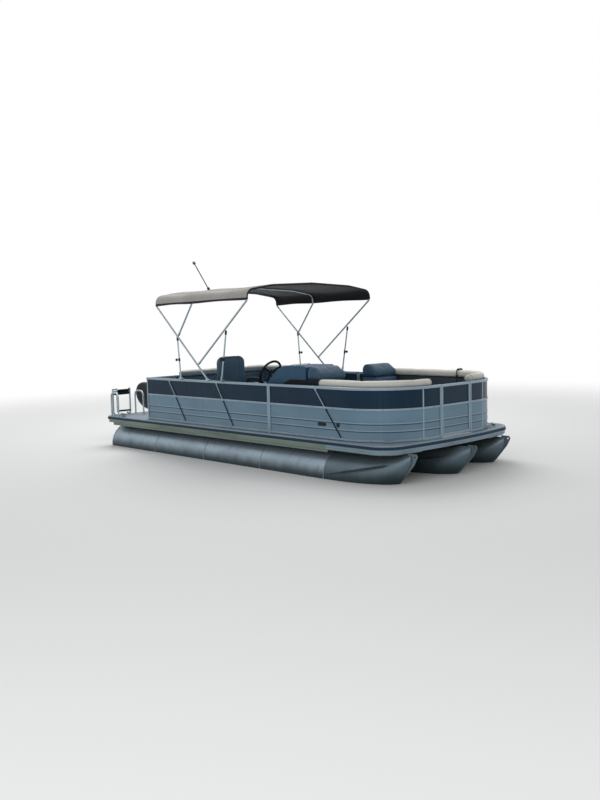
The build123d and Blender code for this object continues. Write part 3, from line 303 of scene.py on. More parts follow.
MATERIALS = {
    # mill-finish aluminium tube, rolled from sheet: soft streaky shine; stained at the waterline, and darker toward the
    # bottom as painted reflection of the dark water
    "tubes": (bare_metal, "#93a5b1", 0.36, (0.02, 1, 1), 0.6, 0.21),
    # pressed and welded cones of the same sheet: duller, and painted darker with the dark film carried higher, as
    # painted shade
    "noses": (bare_metal, "#6c7d87", 0.4, (0.02, 1, 1), 0.55, 0.36),
    # extruded brackets, keels and beams: flat grey with drawn lines
    "brackets": (bare_metal, "#6f7f87", 0.5, (0.03, 1, 1), 0.6),
    # long skirt under the deck: oxide and algae give it a dull green grey
    "skirt": (bare_metal, "#72837a", 0.46, (0.02, 1, 1), 0.4),
    # anodised square tube: even satin
    "rails": (bare_metal, "#889ca9", 0.34, (1, 1, 0.03), 0.55),
    # brighter anodised round tube, with a narrow highlight
    "bow tube": (bare_metal, "#a6b6bf", 0.3, (0.05, 1, 1), 0.65),
    # extruded edge of the deck: satin lip over a weathered foot
    "rub rail": (bare_metal, "#7f95a4", 0.34, (0.02, 1, 1), 0.45, 0.0, SKIRT_TOP),
    # flexible vinyl strip in the edge's groove: matt dark blue
    "rub strip": (moulded, "#1f3546", 0.6, 500, 0.0003, 0.1, 0.25),
    # baked polyester on sheet: pale blue grey with a soft sheen, painted shade under its pressed ribs and a painted
    # highlight above them
    "lower panel": (sheet_paint, "lower_panel", 0.4, "#8d9ba3", RIB_Z, 0.3),
    # the same paint, nearly black
    "upper panel": (sheet_paint, "upper_panel", 0.34, "#3f5768", (), 0.14),
    # calendered PVC upholstery, embossed like leather: satin with fine cells, in four shades
    "cream vinyl": (marine_vinyl, "cushions", "#c9c2b4"),
    "slate vinyl": (marine_vinyl, "backs", "#5d7688"),
    "dusk vinyl": (marine_vinyl, "#22313d", "#44535f"),
    "mist vinyl": (marine_vinyl, "#7e909b", "#a3b0b7"),
    # extruded PVC welt in the seams: even and slightly shiny, dark red or grey
    "maroon piping": (moulded, "#6d2a35", 0.5, 900, 0.0002),
    "piping": (moulded, "#9aa3a8", 0.5, 900, 0.0002),
    # solution-dyed acrylic canvas: matt weave, sun-bleached on top and dark beneath as painted shade; its binding a
    # finer weave in near black, partly real tape and partly painted shade on the hem
    "cloth top": (woven_acrylic, "canopy", "#aeaba7"),
    "cloth under painted shade": (woven_acrylic, "#0e141b", "#161d25"),
    "binding": (woven_acrylic, "#0f1115", "#191c20", 0.0008),
    # woven PVC floor covering: flecked, rough, with no shine
    "deck": (deck_weave, "#76828a", "#959fa4"),
    # marine fir plywood, seen at the deck's edge and from below
    "plywood": (plywood,),
    # rotomoulded polyethylene: waxy pebble
    "seat base": (moulded, "#84939b", 0.55, 420, 0.0006, 0.15, 0.35),
    # gelcoat on glass fibre: smooth with a broad shine
    "console": (moulded, "#26506e", 0.42, 600, 0.0004, 0.1, 0.3),
    # sprayed enamel on castings and the cowl: black with a small sharp highlight
    "motor": (moulded, "#080d14", 0.26, 1200, 0.0001, 0.02, 0.14),
    # cast aluminium propeller, its paint worn to metal
    "propeller": (bare_metal, "#6b7377", 0.34, (1, 1, 1), 0.8),
    # moulded rubber: dead matt
    "rubber": (moulded, "#111417", 0.62, 900, 0.0004, 0.06, 0.2),
    # injection-moulded nylon: fine grain, satin
    "black plastic": (moulded, "#0c1013", 0.46, 800, 0.0003, 0.06, 0.25),
    # rolled and polished stainless steel of screws and pins
    "steel": (bare_metal, "#b9c0c4", 0.22, (1, 1, 1), 0.9),
    # acrylic of the pole's lamp: clear with fine scratches
    "clear": (lens, "#e9eef0"),
    # printed polycarbonate face of the dash: smooth and dark
    "dial": (moulded, "#0c1114", 0.3, 1200, 0.0001, 0.03, 0.25),
    # white nylon of needles and threshold
    "pale": (moulded, "#c6cdd0", 0.5, 900, 0.0002, 0.05),
    # woven polypropylene webbing of the strap
    "webbing": (woven_acrylic, "#0f1113", "#181b1e", 0.002),
    # weld bead: rippled and slightly darker than the sheet
    "weld": (bare_metal, "#7d8a91", 0.5, (1, 1, 1), 0.6),
}

MADE = {}


def surface(name):
    """The finished material of that name, made the first time it is asked for."""
    if name not in MADE:
        maker, *looks = MATERIALS[name]
        MADE[name] = maker(name.replace(" ", "_") + "_finish", *looks)
    return MADE[name]


# Numpy surfaces


def rounded(corners, radii, step=0.012):
    """Points along straight runs joined by arcs: each arc touches both runs, its centre on their bisector."""
    corners = [np.asarray(c, float) for c in corners]
    radii = [radii] * (len(corners) - 2) if np.isscalar(radii) else radii
    points = [corners[0]]
    for before, corner, after, radius in zip(corners, corners[1:], corners[2:], radii):
        a, b = before - corner, after - corner
        a, b = a / np.linalg.norm(a), b / np.linalg.norm(b)
        open_angle = math.acos(float(np.clip(a @ b, -1, 1)))
        if open_angle > math.pi - 1e-3:
            points.append(corner)
            continue
        centre = corner + (a + b) / np.linalg.norm(a + b) * radius / math.sin(open_angle / 2)
        reach = radius / math.tan(open_angle / 2)
        v0, v1, turn = corner + a * reach - centre, corner + b * reach - centre, math.pi - open_angle
        share = np.linspace(0, 1, max(3, int(radius * turn / step) + 2))[:, None]
        points.extend(centre + (np.sin((1 - share) * turn) * v0 + np.sin(share * turn) * v1) / math.sin(turn))
    points.append(corners[-1])
    return np.array(points)


def lengths(path):
    """Distance from the path's start to each of its points."""
    return np.concatenate([[0], np.cumsum(np.linalg.norm(np.diff(path, axis=0), axis=1))])


def resampled(path, at):
    """The path's points at given distances from its start, by straight interpolation."""
    run = lengths(path)
    return np.stack([np.interp(at, run, path[:, k]) for k in range(path.shape[1])], 1)


def evened(path, spacing):
    """The path with points evenly apart."""
    total = lengths(path)[-1]
    return resampled(path, np.linspace(0, total, max(2, int(round(total / spacing)) + 1)))


def circle(radius, sides):
    """A closed flat ring of points."""
    turn = np.linspace(0, 2 * math.pi, sides, endpoint=False)
    return np.stack([radius * np.cos(turn), radius * np.sin(turn)], 1)


def rectangle(width, height, radius, arc=3):
    """A closed flat ring round a rectangle with rounded corners, centred on the origin."""
    turn = np.linspace(0, math.pi / 2, arc + 1)
    ring = []
    for k, (sx, sy) in enumerate(((1, 1), (-1, 1), (-1, -1), (1, -1))):
        angle = turn + k * math.pi / 2
        middle = (sx * (width / 2 - radius), sy * (height / 2 - radius))
        ring.append(middle + radius * np.stack([np.cos(angle), np.sin(angle)], 1))
    return np.concatenate(ring)


def sweep(path, section, up=None, scale=1.0, closed=False):
    """Rings of a flat section carried along a path and kept square to it. Without an up direction,
    each ring is turned from the last one by the smallest turn between their tangents."""
    path = np.asarray(path, float)
    tangent = np.roll(path, -1, 0) - np.roll(path, 1, 0) if closed else np.gradient(path, axis=0)
    tangent /= np.linalg.norm(tangent, axis=1)[:, None]
    if up is None:
        first = np.array([0, 0, 1.0]) if abs(tangent[0][2]) < 0.8 else np.array([1.0, 0, 0])
        sides = [np.cross(tangent[0], first)]
        for t in tangent[1:]:
            moved = sides[-1] - (sides[-1] @ t) * t
            sides.append(moved / np.linalg.norm(moved))
        side = np.array(sides)
    else:
        side = np.cross(tangent, np.broadcast_to(np.asarray(up, float), tangent.shape))
    side /= np.linalg.norm(side, axis=1)[:, None]
    above = np.cross(side, tangent)
    flat = section[None] * np.broadcast_to(scale, len(path))[:, None, None]
    return path[:, None] + side[:, None] * flat[..., :1] + above[:, None] * flat[..., 1:]


def skin(rings, closed=False):
    """Points and faces over rings of equal count: quads between neighbours, and a fan to a middle point
    at each open end."""
    stations, around = rings.shape[:2]
    points = rings.reshape(-1, 3)
    a = np.arange(stations if closed else stations - 1)[:, None] * around
    b = (a + around) % (stations * around)
    j = np.arange(around)[None]
    k = (j + 1) % around
    faces = np.stack([a + j, a + k, b + k, b + j], -1).reshape(-1, 4).tolist()
    for ring, start in () if closed else ((rings[0], 0), (rings[-1], (stations - 1) * around)):
        middle = len(points)
        points = np.vstack([points, ring.mean(0)])
        faces += [[start + n, start + (n + 1) % around, middle] for n in range(around)]
    return points, faces


def tube(path, radius, sides=12, scale=1.0, closed=False):
    """Points and faces of a round tube."""
    return skin(sweep(path, circle(radius, sides), None, scale, closed), closed)


def bar(path, width, height, radius, up=(0, 0, 1), arc=3):
    """Points and faces of a rounded rectangle carried along a path, its height toward up."""
    return skin(sweep(path, rectangle(width, height, radius, arc), up))


def turned(profile, sides=24):
    """Points and faces of a profile (radius, height) turned about z, closed by a flat fan at both ends."""
    rings = [np.insert(circle(radius, sides), 2, height, 1) for radius, height in profile]
    return skin(np.array(rings))


def basis(out):
    """Three square directions whose third is out."""
    out = np.asarray(out, float) / np.linalg.norm(out)
    first = np.cross([0, 0, 1.0], out)
    if np.linalg.norm(first) < 1e-3:
        first = np.array([1.0, 0, 0])
    first /= np.linalg.norm(first)
    return np.array([first, np.cross(out, first), out])


def placed(shell, at, out=(0, 0, 1)):
    """The shell moved to a place, its own z axis turned to an outward direction."""
    return shell[0] @ basis(out) + np.asarray(at, float), shell[1]


def repeated(shell, places, outs=(0, 0, 1)):
    """Copies of a small shell at many places, each turned outwards, as one shell."""
    points, faces = shell
    axes = np.array([basis(out) for out in np.broadcast_to(outs, (len(places), 3))])
    every = np.einsum("nk,pkj->pnj", points, axes) + np.asarray(places, float)[:, None]
    starts = range(0, len(places) * len(points), len(points))
    return every.reshape(-1, 3), [[n + start for n in face] for start in starts for face in faces]


def make_piece(name, shells, materials, body, smooth=35.0):
    """One mesh object from shells (points, faces, optional material number), with outward normals, that
    rides on a body."""
    points, faces, kinds, start = [], [], [], 0
    for shell in shells:
        points.append(shell[0])
        faces += [[n + start for n in face] for face in shell[1]]
        kinds += [shell[2] if len(shell) > 2 else 0] * len(shell[1])
        start += len(shell[0])
    mesh = bpy.data.meshes.new(name)
    mesh.from_pydata(np.concatenate(points).tolist(), [], faces)
    for material in [materials] if isinstance(materials, str) else materials:
        mesh.materials.append(surface(material))
    mesh.polygons.foreach_set("material_index", kinds)
    mesh.polygons.foreach_set("use_smooth", [True] * len(faces))
    work = bmesh.new()
    work.from_mesh(mesh)
    bmesh.ops.recalc_face_normals(work, faces=work.faces)
    work.to_mesh(mesh)
    work.free()
    mesh.set_sharp_from_angle(angle=math.radians(smooth))
    made = bpy.data.objects.new(name, mesh)
    bpy.context.scene.collection.objects.link(made)
    if body:
        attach(made, body)
    return made


def fence_line(inset, along, side=-1):
    """Plan points of the fence's outline moved in by inset. Along is x on the straight side, then the
    length of the corner arc and of the bow arc measured on the fence itself; side is -1 for starboard."""
    along = np.atleast_1d(np.asarray(along, float))
    angle = math.pi / 2 - np.clip((along - CORNER_X) / FENCE_CORNER, 0, CORNER_TURN)
    swept = np.clip(along - CORNER_X - FENCE_CORNER * CORNER_TURN, 0, None) / BOW_SWEEP
    x = np.where(along < CORNER_X, along, CORNER_X + (FENCE_CORNER - inset) * np.cos(angle))
    y = np.where(along < CORNER_X, FENCE_HALF - inset, CORNER_Y + (FENCE_CORNER - inset) * np.sin(angle))
    x = np.where(swept > 0, HUB_X + (BOW_SWEEP - inset) * np.cos(BOW_ANGLE - swept), x)
    y = np.where(swept > 0, (BOW_SWEEP - inset) * np.sin(BOW_ANGLE - swept), y)
    return np.stack([x, side * y], 1)


def fence_reach(y, inset=0.0):
    """How far along the fence's outline the bow arc comes to a given distance from the centreline."""
    return CORNER_X + FENCE_CORNER * CORNER_TURN + BOW_SWEEP * (BOW_ANGLE - math.asin(y / (BOW_SWEEP - inset)))


# Small fittings


def slab(width, depth, height, radius, bevel=0.0015):
    """Points and faces of a block on its base: an upright rounded rectangle with both ends bevelled."""
    rings = []
    for inset, z in ((bevel, 0.0), (0.0, bevel), (0.0, height - bevel), (bevel, height)):
        flat = rectangle(width - 2 * inset, depth - 2 * inset, max(radius - inset, 0.0005))
        rings.append(np.insert(flat, 2, z, 1))
    return skin(np.array(rings))


def dome(radius, height, sides=10):
    """Points and faces of a low round head: its profile is four points of a flattened quarter circle."""
    profile = [(radius, -0.0006), (radius, height * 0.3), (radius * 0.75, height * 0.8), (radius * 0.3, height)]
    return turned(profile, sides)


def knob():
    """Points and faces of a lobed hand knob: the lobes are a cosine of five turns on its radius."""
    turn = np.linspace(0, 2 * math.pi, 40, endpoint=False)
    rings = []
    for z, size in ((0.028, 0.7), (0.031, 0.95), (0.036, 1.0), (0.044, 1.0), (0.049, 0.9), (0.051, 0.55)):
        reach = 0.019 * size * (1 + 0.10 * np.cos(5 * turn))
        rings.append(np.insert(np.stack([reach * np.cos(turn), reach * np.sin(turn)], 1), 2, z, 1))
    return skin(np.array(rings))


def along_between(a, b, share):
    """The point at that share of the way in the side view, as (x, z)."""
    return a[0] + (b[0] - a[0]) * share, a[1] + (b[1] - a[1]) * share


def stepped(at, way, stops, radius, sides, scale):
    """Points and faces of a short tube through a point: it runs between stops along a direction."""
    return tube(np.asarray(at, float) + np.outer(stops, way), radius, sides, scale)


# Padded forms

# Seams: rows of points beside one, how far the other rows keep away from it, and the width of its dip.
SEAM_ROWS, SEAM_CLEAR, SEAM_WIDTH = (-0.014, -0.006, 0, 0.006, 0.014), 0.017, 0.006
PIPING_R = 0.0042


def box_profile(height, radius, crown, across, lines=()):
    """A profile function: for a width it gives a closed ring of a box with rounded edges, its top
    crowned by a parabola, with close rows at each line, a share of the flat part."""
    shares = sorted({*np.linspace(0.1, 0.9, across).tolist(), *(v + d for v in lines for d in (-0.03, 0, 0.03))})
    turn = np.linspace(0, math.pi / 2, 4)[:, None]
    corner = np.hstack([np.cos(turn), np.sin(turn)]) * radius

    def ring(width):
        flat = width - 2 * radius
        top = np.array([[radius + s * flat, height] for s in shares[::-1]])
        floor = np.array([[radius + s * flat, 0.0] for s in (0.15, 0.5, 0.85)])
        right = np.array([width - radius, radius]) + corner[::-1] * [1, -1]
        right_top = np.array([width - radius, height - radius]) + corner
        left_top = np.array([radius, height - radius]) + corner[::-1] * [-1, 1]
        left = np.array([radius, radius]) + corner * [-1, -1]
        loop = np.vstack([floor, right, right_top, top, left_top, left])
        rise = crown * (1 - (2 * np.clip(loop[:, 0] / width, 0, 1) - 1) ** 2)
        loop[:, 1] += np.where(loop[:, 1] > height * 0.6, rise, 0)
        return loop

    return ring


def drawn_profile(corners, radius, step):
    """A profile function for a drawn ring of corners, all rounded alike; the width isn't used."""
    start = (np.array(corners[0]) + corners[1]) / 2
    ring = evened(rounded([start, *corners[1:], corners[0], start], radius), step)[:-1]
    return lambda width: ring


def inward(loop):
    """Unit directions that point into a closed flat ring at each of its points."""
    ahead = np.roll(loop, -1, 0) - np.roll(loop, 1, 0)
    ahead /= np.maximum(np.linalg.norm(ahead, axis=1), 1e-9)[:, None]
    area = np.sum(loop[:, 0] * np.roll(loop[:, 1], -1) - np.roll(loop[:, 0], -1) * loop[:, 1])
    return np.stack([-ahead[:, 1], ahead[:, 0]], 1) * (1 if area > 0 else -1)


def pad_rings(front, back, low, profile, edge, seams, depth, spacing, closed):
    """Rings of a padded form between two matching plan lines. Each ring is the profile for the local
    width. At both ends the rings draw in by the fall of a quarter circle of the edge's radius, and at
    each seam they dip by the depth, with a bell-shaped falloff."""
    run = lengths((front + back) / 2)
    total = run[-1]
    quarter = edge * (1 - np.cos(np.linspace(0, math.pi / 2, 5)))[:-1]
    inner = np.linspace(edge, total - edge, max(3, int(total / spacing)))
    stations = [*quarter, *inner, *(total - quarter[::-1])]
    if closed:
        stations = np.linspace(0, total, max(8, int(total / spacing)), endpoint=False)
    for seam in seams:
        stations = [s for s in stations if abs(s - seam) > SEAM_CLEAR] + [seam + d for d in SEAM_ROWS]
    stations = np.array(sorted(stations))
    near, far = (np.stack([np.interp(stations, run, line[:, k]) for k in (0, 1)], 1) for line in (front, back))
    rings = []
    for here, p, q in zip(stations, near, far):
        width = float(np.linalg.norm(q - p))
        loop = profile(width)
        reach = min(here, total - here)
        fall = 0.0 if closed or reach >= edge else edge - math.sqrt(max(edge**2 - (edge - reach) ** 2, 0))
        dip = sum(depth * math.exp(-(((here - seam) / SEAM_WIDTH) ** 2)) for seam in seams)
        upper = np.clip((loop[:, 1] - loop[:, 1].min()) / max(np.ptp(loop[:, 1]), 1e-6) * 3, 0, 1)[:, None]
        loop = loop + inward(loop) * (fall + dip * upper)
        rings.append(np.column_stack([p + loop[:, :1] * (q - p) / max(width, 1e-6), low + loop[:, 1]]))
    return np.array(rings), stations


def cap_rings(rings):
    """The rings with two smaller ones added inside each end, so that the end faces have rows of their own."""
    first, last = ([ring.mean(0) + (ring - ring.mean(0)) * s for s in shares]
                   for ring, shares in ((rings[0], (0.35, 0.7)), (rings[-1], (0.7, 0.35))))
    return np.concatenate([first, rings, last])


PADS = []


def make_pad(name, front, back, low, profile, edge, body, materials, side_below=None, seams=(), depth=0.0,
             cap=0.01, fill=0.6, replaces=(), slot="cream_vinyl", turn=None, closed=False, pipe=(), spacing=0.045,
             end_pipe=False, cord="piping"):
    """A padded piece from pad_rings, queued for swelling. Faces whose middle is below side_below take the
    second material. Pipe names ring columns that carry piping. Turn is the new order of the axes and a
    shift, for pads that stand up."""
    rings, stations = pad_rings(
        np.asarray(front, float), np.asarray(back, float), low, profile, edge, seams, depth, spacing, closed)
    if not closed:
        rings = cap_rings(rings)
        stations = np.concatenate([[-1, -1], stations, [1e3, 1e3]])
    if turn:
        rings = rings[..., turn[0]] + turn[1]
    points, faces = skin(rings, closed)
    made = make_piece(name, [(points, faces)], materials, None, 70.0)
    if side_below is not None:
        heights = np.array([face.center.z for face in made.data.polygons])
        made.data.polygons.foreach_set("material_index", (heights < side_below).astype(int).tolist())
    pinned = np.zeros(rings.shape[:2], bool) if turn else rings[..., 2] <= rings[..., 2].min() + 0.004
    for seam in seams:
        pinned[np.abs(stations - seam) < 0.004] = True
    PADS.append(dict(obj=made, fixed=np.flatnonzero(pinned), cap=cap, body=body, slot=slot, fill=fill,
                     replaces=replaces, shape=rings.shape, pipe=pipe, end_pipe=end_pipe, cord=cord))


def coordinates(mesh):
    """The mesh's points as an array."""
    flat = np.empty(3 * len(mesh.vertices))
    mesh.vertices.foreach_get("co", flat)
    return flat.reshape(-1, 3)


def swell_pads(pressure, frames):
    """Swell every queued pad at once with cloth pressure, cap how far its points move, then add piping,
    subdivision, and the body each rides on."""
    scene = bpy.context.scene
    still = [coordinates(pad["obj"].data) for pad in PADS]
    for pad in PADS:
        pad["obj"].vertex_groups.new(name="pinned").add(pad["fixed"].tolist(), 1.0, "REPLACE")
        cloth = pad["obj"].modifiers.new("Cloth", "CLOTH")
        cloth.settings.quality = 4
        cloth.settings.use_pressure = True
        cloth.settings.uniform_pressure_force = pressure
        cloth.settings.effector_weights.gravity = 0
        cloth.settings.vertex_group_mass = "pinned"
        cloth.point_cache.frame_start, cloth.point_cache.frame_end = 1, frames
    for number in range(1, frames + 1):
        scene.frame_set(number)
    view = bpy.context.evaluated_depsgraph_get()
    for pad, rest in zip(PADS, still):
        move = coordinates(pad["obj"].evaluated_get(view).data) - rest
        size = np.linalg.norm(move, axis=1)[:, None]
        rest += move * np.minimum(1, pad["cap"] / np.maximum(size, 1e-9))
    for pad in PADS:
        pad["obj"].modifiers.clear()
        pad["obj"].vertex_groups.clear()
    scene.frame_set(1)
    for pad, points in zip(PADS, still):
        made = pad["obj"]
        made.data.vertices.foreach_set("co", points.ravel())
        made.data.update()
        extra = made.modifiers.new("Smooth", "SUBSURF")
        extra.levels = extra.render_levels = 1
        grid = points[: pad["shape"][0] * pad["shape"][1]].reshape(pad["shape"])
        shells = []
        for column in pad["pipe"]:
            path = grid[6:-6, column]
            order = np.arange(len(path))
            shells.append(tube(path, PIPING_R, 8, np.minimum(1, 0.3 + 0.35 * np.minimum(order, order[::-1]))))
        for ring in (grid[5], grid[-6]) if pad["end_pipe"] else ():
            shells.append(tube(ring, PIPING_R, 8, closed=True))
        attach(made, pad["body"])
        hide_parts(*pad["replaces"])
        if shells:
            make_piece(made.name + "_piping", shells, pad["cord"], pad["body"])
    PADS.clear()


# Groups of pieces

# Finish of each carried-over solid, by words in its name.
FINISHES = {
    "tubes": ("float_tubes", "lifting_strakes"),
    "noses": ("nosecones",),
    "brackets": ("keels", "tube_risers", "cross_members", "motor_pod", "deck_cleats"),
    "skirt": ("side_skirts",),
    "rails": ("fence_frame", "gate_frame", "hinge_fittings"),
    "bow tube": ("bimini", "front_strut", "stern_handrails", "ladder", "chair_pedestal"),
    "rub rail": ("rub_rail",),
    "rub strip": ("rub_insert",),
    "lower panel": ("skin_lower", "skins_lower"),
    "upper panel": ("skin_upper", "skins_upper"),
    "deck": ("flooring",),
    "plywood": ("deck_board",),
    "seat base": ("lounge_bases",),
    "console": ("helm_console",),
    "motor": ("clamp_brackets", "gearcase", "motor_cowl", "motor_leg", "swivel_bracket"),
    "propeller": ("propeller",),
    "rubber": ("steering_wheel",),
    "black plastic": ("light_pole",),
}


def finish_solids():
    """Put its finish in every material slot of each carried-over solid."""
    for name, words in FINISHES.items():
        for node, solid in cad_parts.items():
            if any(word in node for word in words):
                for holder in solid.material_slots:
                    holder.material = surface(name)


def canopy_rows(sag):
    """The sun top's grid of points. Across, it follows the bows' arch moved out by the tube's radius;
    along, it runs straight between the end bows, dips between bows by a sine squared, and rolls
    under each end bow as a sleeve."""
    half = [(0.765, 0.2045), (TOP_Y, 0.1363), (TOP_Y, -0.060)]
    line = [*((-y, z) for y, z in half[::-1]), (0, 0.235), *half]
    arch = evened(rounded(line, [0.110, 0.900, 1.500, 0.900, 0.110], 0.02), 0.012)
    ahead = np.gradient(arch, axis=0)
    ahead /= np.linalg.norm(ahead, axis=1)[:, None]
    out = np.stack([-ahead[:, 1], ahead[:, 0]], 1)
    keep = np.flatnonzero(arch[:, 1] > 0.0)
    pick = keep[np.linspace(0, len(keep) - 1, 121).round().astype(int)]
    arch, out = arch[pick], out[pick]
    stations = np.linspace(BOW_X[0], BOW_X[-1], 73)
    # The arch rises by 24 mm over the 2.114 m that the cloth covers.
    base = 2.198 + 0.024 * (stations + 1.619) / 2.114
    share = (stations - BOW_X[0]) / (BOW_X[1] - BOW_X[0])
    share = np.where(stations > BOW_X[1], (stations - BOW_X[1]) / (BOW_X[2] - BOW_X[1]), share)
    # The cloth's distance from the bows' centre lines, and where the arch is flat enough to sag.
    away = 0.0155
    flat = np.clip((arch[:, 1] - 0.10) / 0.06, 0, 1)
    rows = []
    for x, z, dip in zip(stations, base, sag * np.sin(math.pi * np.clip(share, 0, 1)) ** 2):
        ring = arch + out * away
        hem = np.clip(1 - arch[:, 1] / 0.05, 0, 1) * dip * 0.8
        side = ring[:, 0] * (1 - 0.5 * dip * (1 - flat))
        rows.append(np.column_stack([np.full(len(arch), x), side, z + ring[:, 1] - dip * flat + hem]))
    for end, way in ((0, -1), (-1, 1)):
        sleeve = []
        for turn in np.linspace(0, math.radians(250), SLEEVE_ROWS + 1)[1:]:
            ring = arch + out * (away * math.cos(turn)) + (0, base[end])
            sleeve.append(np.insert(ring, 0, stations[end] + way * away * math.sin(turn), 1))
        rows = sleeve[::-1] + rows if end == 0 else rows + sleeve
    return np.array(rows)


def build_canopy(settings):
    """Sun top: one continuous cloth, dark underneath as painted shade, with bound edges that are near black partly as
    painted shade, and seams.
    """
    rows = canopy_rows(settings.sag)
    count, across = rows.shape[:2]
    a = np.arange(count - 1)[:, None] * across
    j = np.arange(across - 1)[None]
    faces = np.stack([a + j, a + across + j, a + across + j + 1, a + j + 1], -1).reshape(-1, 4)
    mesh = bpy.data.meshes.new("canopy_cloth")
    mesh.from_pydata(rows.reshape(-1, 3).tolist(), [], faces.tolist())
    # Solidify gives the underside the next material: the underside's painted shade for cloth top, and the binding for
    # the binding, whose near black is partly painted shade.
    for name in ("cloth top", "cloth under painted shade", "binding", "binding"):
        mesh.materials.append(surface(name))
    mesh.polygons.foreach_set("use_smooth", [True] * len(faces))
    row, column = np.divmod(np.arange(len(faces)), across - 1)
    hem = (np.minimum(column, across - 2 - column) < 1) | (np.minimum(row, count - 2 - row) < SLEEVE_ROWS - 2)
    mesh.polygons.foreach_set("material_index", np.where(hem, 2, 0).tolist())
    if mesh.polygons[len(faces) // 2].normal.z < 0:
        mesh.flip_normals()
    made = bpy.data.objects.new("canopy_cloth", mesh)
    bpy.context.scene.collection.objects.link(made)
    thick = made.modifiers.new("Thickness", "SOLIDIFY")
    thick.thickness, thick.offset = 0.0016, -1.0
    thick.material_offset = thick.material_offset_rim = 1
    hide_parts("canopy")
    seams = []
    for share in (0.0, 0.14, 0.5, 0.86, 1.0):
        edge = share in (0.0, 1.0)
        path = rows[SLEEVE_ROWS:-SLEEVE_ROWS, int(share * (across - 1))]
        if edge:
            seams.append((*bar(path, 0.0032, 0.020, 0.0012, arc=2), 0))
        else:
            seams.append((*bar(path + (0, 0, 0.0012), 0.022, 0.0022, 0.0008, arc=2), 1))
    trim = make_piece("canopy_binding", seams, ["binding", "cloth top"], None)
    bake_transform(made)
    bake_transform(trim)


def corner_shares(path, share):
    """Distances along a path with one corner, so that half of the shares lie before the corner's middle."""
    run = lengths(path)
    bend = run[np.argmin(path[:, 0] - path[:, 1])]
    return np.where(share < 0.5, share * 2 * bend, bend + (share * 2 - 1) * (run[-1] - bend))


